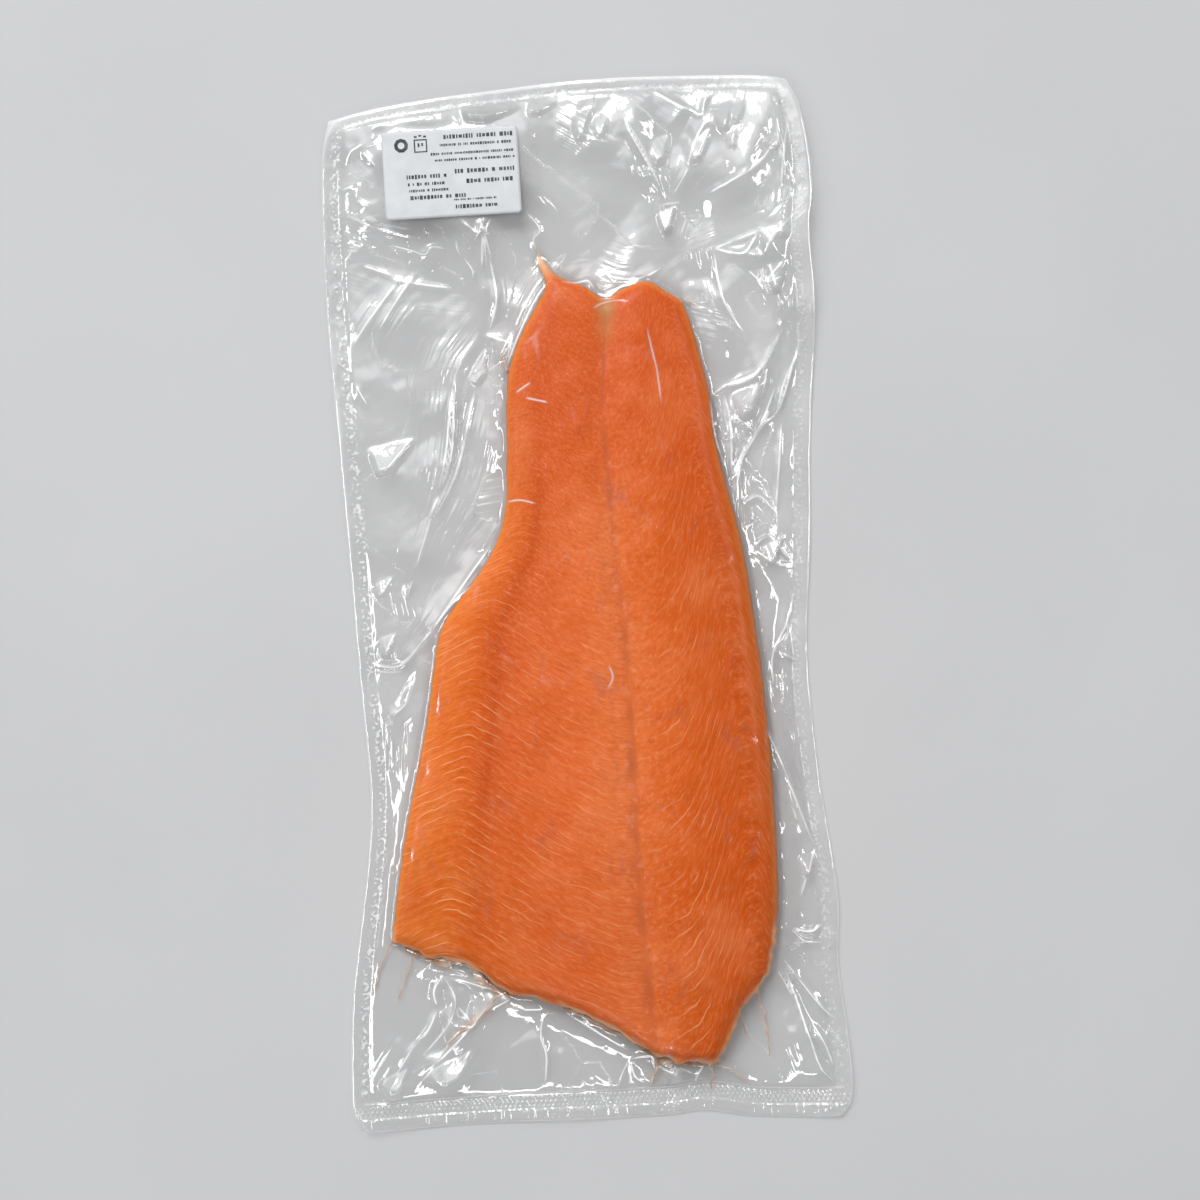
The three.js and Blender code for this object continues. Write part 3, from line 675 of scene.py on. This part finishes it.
def make_front_film(flesh):
    grid = PouchGrid("front_film", FILM_STEP)
    flat, border, seal, low = grid.flat, grid.border, grid.seal, grid.low
    floor = grid.blurred(height_from(pouch_tree, flat * INSIDE, 0.0, above=False), 3.6) + FILM_LIFT
    shell = height_from(pouch_tree, flat * INSIDE, 0.0)
    top = height_from(tree_of(flesh), flat, -1.0)
    base = grid.blurred(np.maximum(shell, top), 1.9)

    over = soft_step(0.0, 1.0, top)
    near = grid.blurred(over, 2.4)
    sealed = 1 - soft_step(0.85, 1.15, seal)
    bare = 1 - label_share(flat)
    loose = soft_step(0.12, 0.6, 1 - near) * (0.25 + 0.75 * soft_step(0.9, 1.5, seal))
    folds, nearest, lay, crisp = front_folds(grid)
    swell = 0.3 * waves(flat, 24, 21) + 0.08 * waves(flat, 7, 22)
    wrinkled = (folds + swell) * bare * loose
    # over the flesh the film clings, with a few hair creases only
    hair = cellular(flat, 12, 17, 2.6)
    least = floor + FILM_EDGE + 0.3 * soft_step(1, 1.5, seal)
    height = np.maximum(base + wrinkled + 0.07 * hair**3 * over, least)
    # the seal: two pressed films with a bead along each side of it, and small puckers
    bead = 0.22 * rise_at(1.02 * SIDE_SEAL, seal * SIDE_SEAL, 0.7) + 0.12 * rise_at(1.1, border, 0.7)
    pucker = 0.1 * waves(flat, 9, 31) + 0.16 * cellular(flat, 9, 33) ** 3
    uneven = (pucker + 0.45 * np.maximum(wrinkled, 0)) * soft_step(0.3, 2, border)
    height = height * (1 - sealed) + (floor + FILM_EDGE + 0.1 + bead + uneven) * sealed
    height = np.where(top > 0, np.maximum(height, top + FILM_REST), height)
    height[border < 0.01] = floor[border < 0.01] + 0.02

    # pleats, in patches near the folds and beside the fillet's neck
    neck = soft_step(20, 40, flat[:, 1]) * soft_step(120, 100, flat[:, 1]) * rise_at(-52, flat[:, 0], 15)
    patch = 0.1 + 0.9 * soft_step(0.0, 0.6, waves(flat, 34, 71)) * (1 - soft_step(5, 14, nearest))
    pleats = loose * bare * np.maximum(patch, neck)
    hem_pleats = 1.3 * (1 - soft_step(5.5, 6.5, low)) * soft_step(0.5, 1.5, border)
    specks = sealed * soft_step(3.2, 4.2, border) * (1 - soft_step(7.4, 8.4, border)) * (low > 16)
    welds = 0.9 * rise_at(13.4, low, 0.55) + 0.6 * rise_at(6.2, low, 0.5)
    hem = np.maximum(1 - soft_step(0.1, 0.9, border), welds * soft_step(2, 6, border))
    # where the films lie apart they are drawn milky white: a little is the film's own haze, the rest painted
    # reflection
    # of the room, in soft patches, stronger towards the top and the right, and none on or beside the flesh
    sheen_patches = soft_step(-0.9, 1.1, waves(flat, 30, 91)) * soft_step(-190, 20, flat[:, 1])
    painted_room_sheen = (0.1 + 0.24 * sheen_patches + 0.12 * soft_step(50, 100, flat[:, 0])) * (1 - soft_step(0.0, 0.3, near))
    glint = soft_step(0.86, 1.0, hair) * over * soft_step(0.1, 0.7, waves(flat, 30, 61))
    set_attributes(
        grid.piece,
        loose=np.maximum(pleats, hem_pleats),
        lay=lay,
        crisp=crisp * bare * (1 - 0.5 * over) * soft_step(0.6, 1.1, seal),
        knurl=soft_step(6.6, 7.4, low) * (1 - soft_step(11.4, 12.2, low)),
        speck=specks * np.where(flat[:, 0] < 0, 0.7, 0.25),
        white=0.3 * hem + 0.05 * sealed + painted_room_sheen,
        clings=np.clip(over - glint, 0, 1),
    )
    return grid.raised(height)


def past_label(across, up, margin=0.0):
    """How far a place is past the label's sides and past its ends, drawn in by the margin."""
    return (np.maximum(np.abs(way) - size / 2 + margin, 0) for way, size in zip((across, up), LABEL_SIZE))


def label_share(points):
    """1 under the label, falling to 0 a few millimetres off its edge."""
    across, up = turned(points[:, 0] - LABEL_MIDDLE[0], points[:, 1] - LABEL_MIDDLE[1], -LABEL_TURN)
    return 1 - soft_step(0.5, 5, np.hypot(*past_label(across, up)))


# ----- Sinew -----

# The line of the cut, where pale membrane sticks out from under the flesh.
CUT_LINE = [
    (-86, -138), (-78.6, -141.5), (-66.2, -147), (-53.7, -149.6), (-47.7, -157), (-41.5, -160.5),
    (-33.2, -162), (-22.7, -163.4), (-14.5, -167.5), (-4.2, -172.9), (8.1, -180.5), (18.4, -187),
    (23.2, -191.7), (30.7, -193.4), (41.2, -193.4), (46.3, -192),
]

# Threads of sinew, each with its thickness, that lie in the empty film.
THREADS = [
    (0.9, [(64.5, -158), (66.6, -165), (68.5, -173.7), (69.8, -182.1), (70.6, -194.3)]),
    (1.7, [(25.4, -184), (24, -191), (22.4, -197), (20.7, -202.9)]),
    (1.0, [(44.2, -187.5), (45.6, -193.6), (47.2, -201.4)]),
    (0.8, [(45.2, -190), (50.4, -195.7), (55.7, -199.2), (61.5, -202.8)]),
    (0.7, [(46, -191), (46.6, -199), (45.4, -206.4)]),
    (0.7, [(-84.5, -136), (-88.4, -144), (-91.4, -150.6), (-94.1, -160.1)]),
    (0.7, [(-75, -140.5), (-78.3, -148.5), (-80.8, -154.3), (-84.5, -163)]),
    (0.9, [
        (-42.5, -158.5), (-39.7, -160.4), (-35.4, -158.4), (-26.3, -158.2), (-18.7, -159.6), (-12.2, -163.9),
    ]),
    (1.8, [(-38.4, -159.6), (-45.1, -166.3), (-50.8, -171.5), (-58.2, -177.1), (-66, -183.5)]),
    (0.9, [(43.4, 127), (49.6, 124.7), (54.5, 122.4)]),
    (1.2, [(-25.4, 104), (-30.3, 103), (-28.9, 100), (-26.4, 96)]),
    (0.6, [(58.5, -167), (59.6, -176.7), (61, -183.9)]),
]


def between_films(flat, share):
    """The level of a point in the pouch, from 0 on the back film to 1 under the front one."""
    back = height_from(pouch_tree, flat, 0.1, above=False)
    return back + share * (height_from(pouch_tree, flat, 0.5) - back)


def make_membrane():
    """A ragged hem of pale membrane along the cut."""
    line = smooth_line(CUT_LINE, 260)
    piece, u, v = unit_grid("cut_membrane", 260, 5)
    flat, out = at_share(line, u), at_share(sideways(line), u)
    reach = np.clip(1.7 + 1.3 * waves(flat, 15, 81) + 0.6 * waves(flat, 5, 82), 0.2, 3.4)
    flat += out * ((1 - v) * (MEMBRANE_HOLD + reach) - MEMBRANE_HOLD)[:, None]
    set_coordinates(piece, np.column_stack([flat, between_films(flat, 0.5) + 0.1]))
    thicken(piece, MEMBRANE_THICK)
    bpy.ops.object.shade_smooth()
    return piece


def make_threads():
    """Sinew threads: thin tubes that swell and taper, drawn out to points."""
    pieces = []
    for number, (thickness, way) in enumerate(THREADS):
        line = smooth_line(way, THREAD_STEPS)
        line[1:] += 0.7 * np.column_stack([waves(line[1:], 7, 60 + number), waves(line[1:], 7, 75 + number)])
        level = np.maximum(between_films(line, 0.6), between_films(line, 0.0) + 0.6 * thickness)
        swell = 1 + 0.35 * waves(line, 6, 90 + number)
        piece, u, v = unit_grid("thread", THREAD_STEPS, 8)
        row = np.rint(u * THREAD_STEPS).astype(int)
        radius = thickness / 2 * (np.sin(np.linspace(0, math.pi, len(line))) ** 0.4 * swell)[row]
        flat = line[row] + sideways(line)[row] * (radius * np.cos(v * math.tau))[:, None]
        set_coordinates(piece, np.column_stack([flat, level[row] + radius * np.sin(v * math.tau)]))
        pieces.append(piece)
    threads = joined(pieces, "sinew_threads")
    with editing_all():
        bpy.ops.mesh.remove_doubles(threshold=WELD)
        bpy.ops.mesh.normals_make_consistent(inside=False)
    bpy.ops.object.shade_smooth()
    return threads


# ----- Label -----


def on_label(across, up):
    """A place on the label, given from its middle, in the frame of the part."""
    x, y = turned(across, up, LABEL_TURN)
    return LABEL_MIDDLE[0] + x, LABEL_MIDDLE[1] + y


def make_label():
    """A paper label with rounded corners, lying level on the film."""
    piece, u, v = unit_grid("label_paper", 44, 30)
    across, up = (u - 0.5) * LABEL_SIZE[0], (v - 0.5) * LABEL_SIZE[1]
    past_side, past_end = past_label(across, up, LABEL_CORNER)
    pull = 1 - LABEL_CORNER / np.maximum(np.hypot(past_side, past_end), LABEL_CORNER)
    across -= np.sign(across) * past_side * pull
    up -= np.sign(up) * past_end * pull
    flat = np.column_stack(on_label(across, up))
    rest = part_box("label")[0].z / MM
    set_coordinates(piece, np.column_stack([flat, rest + LABEL_REST + 0.1 * waves(flat, 38, 44)]))
    bpy.ops.object.shade_smooth()
    thicken(piece, LABEL_THICK, offset=1)
    return piece


# Rows of generic print: where each starts and ends, its height up the label, how tall.
PRINT_ROWS = [
    (-2.5, 26.2, 15.0, 1.9), (-4.2, 26.2, 11.7, 1.2), (-8.2, 26.8, 8.1, 1.1), (-6.6, 26.8, 5.4, 1.1),
    (-18.8, -2.0, -0.9, 1.8), (1.4, 27.0, 0.5, 1.9), (-18.4, -2.6, -4.0, 1.4), (6.0, 26.6, -3.8, 1.8),
    (-18.0, -1.7, -6.7, 1.2), (-17.7, 6.4, -9.6, 1.7), (0.4, 19.0, -11.3, 0.8), (0.9, 18.8, -14.2, 1.7),
]
# Small marks over the frame and in it: middle, width and height.
PRINT_MARKS = [
    (-14.2, 15.7, 1.2, 0.8), (-12.3, 16.1, 1.2, 0.7), (-10.3, 15.7, 1.2, 0.8), (-13.0, 12.2, 0.8, 1.6),
    (-11.5, 12.4, 0.8, 1.3),
]


def make_print(paper):
    """Bars of ink in place of the words, with a ring and a framed mark in place of the signs."""
    level = (coordinates(paper)[:, 2].max() + 0.03) * MM
    draw = random.Random(12)
    bars = []
    for start, end, up, tall in PRINT_ROWS:
        place = start
        while place < end - 0.8:
            wide = min(draw.uniform(0.25, 0.8) * tall, end - place)
            bars.append((place + wide / 2, up, wide, tall * draw.uniform(0.65, 1.05)))
            place += wide + (0.24 if draw.random() < 0.86 else 0.9) * tall
    pieces = []
    for across, up, wide, tall in bars + PRINT_MARKS:
        x, y = on_label(across, up)
        bpy.ops.mesh.primitive_plane_add(size=1, location=(x * MM, y * MM, level))
        bpy.context.object.rotation_euler = (0, 0, LABEL_TURN)
        bpy.context.object.scale = (wide * MM, tall * MM, 1)
        pieces.append(bpy.context.object)
    # the ring and the frame: a polygon's sides, outer and inner radius, place on the label and turn
    for sides, outer, inner, place, turn in (
        (9, 3.0, 1.45, (-20.3, 12.4), 0.0),
        (4, 3.9, 3.15, (-12.2, 11.9), math.pi / 4),
    ):
        x, y = on_label(*place)
        bpy.ops.mesh.primitive_circle_add(
            vertices=sides, radius=outer * MM, fill_type="NGON", location=(x * MM, y * MM, level),
            rotation=(0, 0, turn + LABEL_TURN),
        )
        with editing_all():
            bpy.ops.mesh.inset(thickness=(outer - inner) * MM * math.cos(math.pi / sides))
            bpy.ops.mesh.delete(type="FACE")
        pieces.append(bpy.context.object)
    printed = joined(pieces, "label_print")
    bpy.ops.object.transform_apply(location=True, rotation=True, scale=True)
    return printed


# ----- Materials -----


class Shader:
    """Adds nodes to a material or to the world. Most methods give the new node's result, as a socket."""

    def __init__(self, owner):
        self.owner = owner
        owner.use_nodes = True

    def add(self, kind, settings=None, **inputs):
        """Settings are the node's properties. Inputs are values or sockets, named in_0, in_1 by number, or by
        the socket's name with _ for a space."""
        tree = self.owner.node_tree
        made = tree.nodes.new("ShaderNode" + kind)
        for name, value in (settings or {}).items():
            setattr(made, name, value)
        for name, value in inputs.items():
            socket = made.inputs[int(name[3:]) if name.startswith("in_") else name.replace("_", " ")]
            if isinstance(value, bpy.types.NodeSocket):
                tree.links.new(value, socket)
            else:
                socket.default_value = value
        return made

    def place(self, kind="Object"):
        return self.add("TexCoord").outputs[kind]

    def number(self, name):
        """A number that the mesh gives for each vertex."""
        return self.add("Attribute", {"attribute_name": name}).outputs["Fac"]

    def math(self, operation, *values, clamp=False):
        inputs = {f"in_{i}": value for i, value in enumerate(values)}
        return self.add("Math", {"operation": operation, "use_clamp": clamp}, **inputs).outputs[0]

    def times(self, first, second):
        return self.math("MULTIPLY", first, second)

    def times_plus(self, first, second, third, clamp=False):
        return self.math("MULTIPLY_ADD", first, second, third, clamp=clamp)

    def spread(self, value, low, high, least=0.0, most=1.0, kind="LINEAR"):
        """The value's place between low and high, spread out from least to most and held between them."""
        ends = {"From_Min": low, "From_Max": high, "To_Min": least, "To_Max": most}
        return self.add("MapRange", {"interpolation_type": kind}, Value=value, **ends).outputs["Result"]

    def eased(self, value, low, high, least=0.0, most=1.0):
        return self.spread(value, low, high, least, most, "SMOOTHSTEP")

    def point(self, x, y, z=0.0):
        return self.add("CombineXYZ", X=x, Y=y, Z=z).outputs[0]

    def noise(self, place, scale, detail, **more):
        return self.add("TexNoise", Vector=place, Scale=scale, Detail=detail, **more).outputs["Fac"]

    def ramp(self, value, stops):
        """A colour for each value. The stops are places with a hex code or a grey level."""
        made = self.add("ValToRGB", Fac=value)
        elements = made.color_ramp.elements
        while len(elements) < len(stops):
            elements.new(1.0)
        for element, (place, shade) in zip(elements, stops):
            element.position = place
            element.color = colour(shade) if isinstance(shade, str) else (shade, shade, shade, 1.0)
        return made.outputs["Color"]

    def tint(self, under, amount, code):
        """That much of another colour, over the one under it."""
        return self.add("Mix", {"data_type": "RGBA"}, in_0=amount, in_6=under, in_7=colour(code)).outputs[2]

    def bump(self, height, distance, strength=1.0):
        return self.add("Bump", Strength=strength, Distance=distance, Height=height).outputs["Normal"]

    def blend(self, share, first, second):
        return self.add("MixShader", in_0=share, in_1=first, in_2=second).outputs[0]

    def solid(self, **inputs):
        return self.add("BsdfPrincipled", **inputs).outputs[0]

    def plain(self, kind, **inputs):
        """A shader that does one thing to light, white unless its colour is given."""
        return self.add("Bsdf" + kind, **{"Color": colour("#FFFFFF"), **inputs}).outputs[0]

    def done(self, shader):
        """The material, showing this shader."""
        self.add("OutputMaterial", Surface=shader)
        return self.owner


def new_material(name):
    shader = Shader(bpy.data.materials.new(name))
    shader.owner.node_tree.nodes.clear()
    return shader


# How much the film reflects, seen from the front and at a slant: wrinkled, flat, and where it clings.
WRINKLED_MIRROR, FLAT_MIRROR, CLING_MIRROR = (0.12, 0.95), (0.04, 0.95), (0.011, 0.2)
SHINE, CLING_SHINE = 0.04, 0.3  # its roughness
DOT_PERIODS = {"X": 0.002, "Y": 0.0036}  # of the dots that the hot bar presses into the seal, in metres


def flat_film_material():
    """The vacuum film where it lies flat: glass clear and glossy."""
    film = new_material("clear_vacuum_film_flat")
    facing = film.add("LayerWeight", Blend=0.5).outputs["Facing"]
    mirror = film.spread(film.math("POWER", facing, 4.0), 0.0, 1.0, *FLAT_MIRROR)
    return film.done(film.blend(mirror, film.plain("Transparent"), film.plain("Glossy", Roughness=SHINE)))


def film_material():
    """Polyamide and polyethylene vacuum film, blown and laminated: glass clear and glossy, so that it shows
    by its wrinkles. Where it clings to the wet flesh no air is behind it, and its shine is weak and soft."""
    film = new_material("clear_vacuum_film")
    place = film.place()
    lay, clings = film.number("lay"), film.number("clings")
    axes = film.add("SeparateXYZ", Vector=place).outputs
    rows = (film.times(axes[way], math.tau / period) for way, period in DOT_PERIODS.items())
    dots = film.times(*(film.math("SINE", row) for row in rows))
    dots = film.times(dots, film.number("knurl"))
    # pleats about 2 mm wide that run with the nearest fold, 25 mm long, in patches
    run = film.point(film.times(lay, 0.5), film.times(axes["X"], 42.0), film.times(axes["Y"], 42.0))
    pleats = film.times(film.noise(run, 1.0, 1.0), film.number("loose"))
    normal = film.bump(film.times_plus(dots, 0.12, pleats), 0.001)
    facing = film.add("LayerWeight", Blend=0.5, Normal=normal).outputs["Facing"]
    # a sharp crease throws light widely, along a line about 1 mm wide, and the line is drawn white: a little
    # the film's whitening, mostly painted highlight
    crease = film.times(film.spread(film.math("ABSOLUTE", lay), 0.2, 0.6, 1.0, 0.0), film.number("crisp"))
    ends = (film.spread(clings, 0.0, 1.0, *pair) for pair in zip(WRINKLED_MIRROR, CLING_MIRROR))
    mirror = film.spread(film.math("POWER", facing, 4.0), 0.0, 1.0, *ends)
    mirror = film.times_plus(crease, 0.3, mirror, clamp=True)
    rough = film.times_plus(crease, 0.4, film.spread(clings, 0.0, 1.0, SHINE, CLING_SHINE))
    # pressed film is milky in the dots and the specks; the crease lines and the room's reflection are painted
    # white over them
    grit = film.times(film.spread(film.noise(place, 700.0, 0.0), 0.54, 0.7, 0.0, 0.75), film.number("speck"))
    marks = film.times_plus(crease, 0.9, film.times_plus(dots, 0.3, grit, clamp=True))
    milk_and_painted_sheen = film.math("ADD", marks, film.number("white"), clamp=True)
    veiled = film.blend(milk_and_painted_sheen, film.plain("Transparent"), film.plain("Diffuse"))
    return film.done(film.blend(mirror, veiled, film.plain("Glossy", Roughness=rough, Normal=normal)))


# Colours over the fillet's width, from the belly edge (0) over the lateral line (0.5) to the back's edge (1):
# yellow orange edge, redder where the bands peak, warm middle, deep orange back.
FLESH_ZONES = [
    (0.0, "#EA7A30"), (0.07, "#E36E20"), (0.12, "#D65E12"), (0.165, "#C44C07"), (0.21, "#D65E22"),
    (0.36, "#E06A31"), (0.47, "#E27238"), (0.53, "#DE6A2B"), (0.66, "#D8601C"), (0.8, "#CE560F"),
    (0.92, "#C45009"), (1.0, "#D4621C"),
]
# How strong the pale lines between the bands are, over the same width.
LINE_ZONES = [
    (0.0, 0.7), (0.1, 0.62), (0.17, 0.4), (0.3, 0.26), (0.44, 0.26), (0.5, 0.08),
    (0.61, 0.22), (0.68, 0.5), (0.78, 0.42), (0.86, 0.04), (1.0, 0.22),
]


def flesh_material():
    """Trout muscle, sliced and frozen: moist orange bands parted by thin pale lines of fat, with a greyish
    lateral line. Phase counts the bands, share runs from -1 over the lateral line to 1, along is y and edge
    the distance from the wall, both in millimetres."""
    meat = new_material("trout_flesh")
    place = meat.place()
    phase, share, edge, along = (meat.number(name) for name in ("phase", "share", "edge", "along"))
    beside = meat.math("ABSOLUTE", share)
    width = meat.spread(share, -1.0, 1.0)

    def fibres(across, length, layer, detail, **more):
        """Noise drawn out along the bands: that many to a band, and to half the fillet's width."""
        woven = meat.point(meat.times(phase, across), meat.times(share, length), layer)
        return meat.noise(woven, 1.0, detail, **more)

    # the tail end is redder and more even, the cut belly corner yellower, the cut end duller
    low_end = meat.eased(along, -60.0, -150.0)
    corner = meat.times(meat.times(low_end, meat.eased(share, -0.3, -0.95)), 0.75)
    tone = meat.tint(meat.ramp(width, FLESH_ZONES), meat.eased(along, 10.0, 85.0, 0.0, 0.75), "#D3551A")
    tone = meat.tint(tone, corner, "#DE7A26")
    tone = meat.tint(tone, meat.times(low_end, 0.3), "#BC4C10")
    # cloudy patches about 25 mm wide, soft fibres of 2 by 8 mm and streaks of 1 by 3 mm, paler and darker
    cloud = meat.noise(place, 38.0, 3.0)
    mottle = fibres(2.4, 9.0, 3.0, 3.0, Roughness=0.6)
    streak = fibres(5.0, 26.0, 0.0, 3.0, Roughness=0.6)
    for source, high, paler, light, low, darker, dark in (
        (cloud, 0.8, 0.45, "#E9834E", 0.25, 0.6, "#CA520C"),
        (mottle, 0.78, 0.26, "#EE8C5E", 0.24, 0.38, "#C64B0C"),
        (streak, 0.76, 0.34, "#F0986A", 0.26, 0.34, "#C44C08"),
    ):
        tone = meat.tint(tone, meat.spread(source, 0.5, high, 0.0, paler), light)
        tone = meat.tint(tone, meat.spread(source, 0.5, low, 0.0, darker), dark)

    # thin pale lines one band apart, wandering and broken here and there, and faint towards the tail
    saw = meat.math("PINGPONG", meat.times_plus(meat.noise(place, 75.0, 2.0), 1.0, phase), 0.5)
    lines = meat.times(meat.spread(saw, 0.0, 0.1, 1.0, 0.0, "SMOOTHERSTEP"), meat.ramp(width, LINE_ZONES))
    lines = meat.times(lines, meat.spread(meat.noise(place, 85.0, 3.0), 0.42, 0.62))
    lines = meat.times(lines, meat.spread(along, 70.0, -50.0, 0.12, 1.0))
    tone = meat.tint(tone, lines, "#F7B685")
    # pale flecks about 1 by 2 mm: partly fat, partly painted highlight, the small wet glints on the flesh
    fleck_glints = fibres(4.2, 44.0, 7.0, 2.0, Distortion=0.8)
    tone = meat.tint(tone, meat.spread(fleck_glints, 0.62, 0.76, 0.0, 0.3), "#F4AC82")

    # the lateral line: a reddish grey stripe about 4 mm wide, patchy, with wisps of pale tissue beside it
    patches = meat.spread(meat.noise(place, 85.0, 3.0), 0.35, 0.65, 0.25, 1.0)
    tone = meat.tint(tone, meat.times(meat.eased(beside, 0.0, 0.05, 0.62, 0.0), patches), "#B2552F")
    wisps = meat.spread(meat.noise(place, 260.0, 3.0), 0.56, 0.72, 0.0, 0.3)
    tone = meat.tint(tone, meat.times(wisps, meat.spread(beside, 0.03, 0.11, 1.0, 0.0)), "#EFA483")
    # grey green stain in the notch of the tail
    stain = meat.times(meat.eased(along, 100.0, 124.0, 0.0, 0.9), meat.eased(beside, 0.0, 0.2, 1.0, 0.0))
    tone = meat.tint(tone, meat.times(stain, patches), "#B98A55")
    # painted light: the thin edges are drawn paler and yellower, as light shining through them would make
    # them
    rim = meat.eased(meat.times_plus(cloud, 4.0, edge), 1.6, 5.2, 0.5, 0.0)
    tone = meat.tint(tone, rim, "#F0954A")
    # pale tissue shows all along the cut, and the thin curl at the tail's left corner is pale
    cut = meat.times(meat.spread(edge, 0.3, 1.8, 0.8, 0.0), meat.eased(along, -130.0, -139.0))
    tone = meat.tint(tone, meat.times(cut, patches), "#F1C9A6")
    tip = meat.times(meat.eased(along, 133.0, 145.0, 0.0, 0.85), meat.spread(share, 0.1, -0.1))
    tone = meat.tint(tone, tip, "#E8BE93")

    normal = meat.bump(meat.times_plus(streak, 0.7, lines), 0.0006, 0.3)
    moist = {"Roughness": 0.45, "IOR": 1.36, "Specular_IOR_Level": 0.12}
    return meat.done(meat.solid(Base_Color=tone, Normal=normal, **moist))


def sinew_material():
    """Wet connective tissue: pale, slightly orange, and thin enough to see through in part."""
    sinew = new_material("wet_sinew")
    mottle = sinew.noise(sinew.place(), 210.0, 3.0)
    tone = sinew.ramp(mottle, [(0.35, "#F3C29C"), (0.65, "#FBEBDB")])
    tissue = sinew.solid(Base_Color=tone, Roughness=0.35, IOR=1.38)
    clear = sinew.plain("Transparent", Color=colour("#F6E3D2"))
    return sinew.done(sinew.blend(sinew.spread(mottle, 0.3, 0.7, 0.3, 0.75), clear, tissue))


def paper_material():
    """Coated thermal paper: smooth, cool white, faintly mottled."""
    paper = new_material("coated_label_paper")
    place = paper.place()
    tone = paper.ramp(paper.noise(place, 160.0, 3.0), [(0.3, "#D2D5D8"), (0.7, "#DCDFE2")])
    normal = paper.bump(paper.noise(place, 2600.0, 2.0), 0.0002, 0.08)
    return paper.done(paper.solid(Base_Color=tone, Roughness=0.55, Normal=normal))


def ink_material():
    """Thermal print: soft black that fades in places."""
    ink = new_material("thermal_ink")
    tone = ink.ramp(ink.noise(ink.place(), 240.0, 2.0), [(0.35, "#27282B"), (0.75, "#5E6063")])
    return ink.done(ink.solid(Base_Color=tone, Roughness=0.5))


def floor_material():
    """Plain pale studio floor, matt, with a faint mottle."""
    ground = new_material("plain_floor")
    tone = ground.ramp(ground.noise(ground.place(), 6.0, 3.0), [(0.3, "#C8C8C9"), (0.7, "#CCCCCD")])
    return ground.done(ground.solid(Base_Color=tone, Roughness=0.6))


# ----- The object -----

pouch_tree = tree_of(frame["nodes"]["pouch"])
flesh = make_flesh()
front_film = make_front_film(flesh)
back_film = make_back_film()
membrane = make_membrane()
threads = make_threads()
sinew = sinew_material()
label_paper = make_label()
label_print = make_print(label_paper)

for piece, material, slot in (
    (flesh, flesh_material(), "fillet"),
    (front_film, film_material(), "pouch"),
    (back_film, flat_film_material(), "pouch"),
    (membrane, sinew, "fillet"),
    (threads, sinew, "fillet"),
    (label_paper, paper_material(), "label"),
    (label_print, ink_material(), "label"),
):
    piece.data.materials.clear()
    piece.data.materials.append(material)
    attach(piece, "root")
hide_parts("fillet")
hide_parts("pouch")
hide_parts("pouch")
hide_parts("label")

# ----- Floor, light and camera -----

# In metres, as are the lamps' sizes. The floor is just under the pack.
FLOOR_SIZE, FLOOR_DROP = 24, 0.0004
CAMERA_AT, CAMERA_TURN = (0.0069, 0.0011, 0.98), math.radians(-2.25)
CAMERA_LENS, CAMERA_SENSOR = 70.0, 36.0  # in millimetres
LAMP_DISTANCE = 2.2

bpy.ops.mesh.primitive_plane_add(size=FLOOR_SIZE, location=(0, 0, -FLOOR_DROP))
floor = bpy.context.object
floor.name = "floor"
floor.data.materials.append(floor_material())


def aim(direction, tilt):
    """A unit vector, that many degrees round from +X and off straight up."""
    turn, lean = math.radians(direction), math.radians(tilt)
    return Vector((math.cos(turn) * math.sin(lean), math.sin(turn) * math.sin(lean), math.cos(lean)))


def softbox(name, direction, tilt, width, height, glow):
    """A rectangular lamp that looks at the pack. Glow is its radiance."""
    data = bpy.data.lights.new(name, "AREA")
    data.shape = "RECTANGLE"
    data.size, data.size_y = width, height
    data.energy = glow * math.pi * width * height
    lamp = bpy.data.objects.new(name, data)
    lamp.location = aim(direction, tilt) * LAMP_DISTANCE
    lamp.rotation_euler = (-lamp.location).to_track_quat("-Z", "Y").to_euler()
    bpy.context.scene.collection.objects.link(lamp)


for pane, direction in enumerate((97, 108, 119)):
    softbox(f"key_pane_{pane}", direction, tilt=43, width=0.2, height=1.0, glow=8.2)
for side, direction in (("right", 15), ("left", 185), ("low", 255)):
    softbox(f"window_{side}", direction, tilt=44, width=1.1, height=0.26, glow=7.2)

# the room is dim above and glows, with soft borders, round the window
world = bpy.data.worlds.new("pale_room")
bpy.context.scene.world = world
room = Shader(world)
way = room.place("Generated")


def glow_round(direction, tilt, reach, least, most):
    """Brightness of the room, falling from a place on its wall over that many degrees."""
    toward = room.add("VectorMath", {"operation": "DOT_PRODUCT"}, in_0=way, in_1=aim(direction, tilt))
    return room.eased(toward.outputs["Value"], math.cos(math.radians(reach)), 1.0, least, most)


sky = world.node_tree.nodes["Background"]
sky.inputs["Color"].default_value = colour("#FAFBFC")
glow = room.math("ADD", glow_round(112, 58, 56, 0.2, 0.8), glow_round(112, 40, 34, 0.0, 1.6))
world.node_tree.links.new(glow, sky.inputs["Strength"])

camera_data = bpy.data.cameras.new("camera")
camera_data.lens, camera_data.sensor_width = CAMERA_LENS, CAMERA_SENSOR
camera = bpy.data.objects.new("camera", camera_data)
camera.location = CAMERA_AT
camera.rotation_euler = (0, 0, CAMERA_TURN)
bpy.context.scene.collection.objects.link(camera)
bpy.context.scene.camera = camera
bpy.context.scene.view_settings.view_transform = "Standard"
cycles = bpy.context.scene.cycles
cycles.max_bounces, cycles.diffuse_bounces, cycles.glossy_bounces = 4, 2, 1
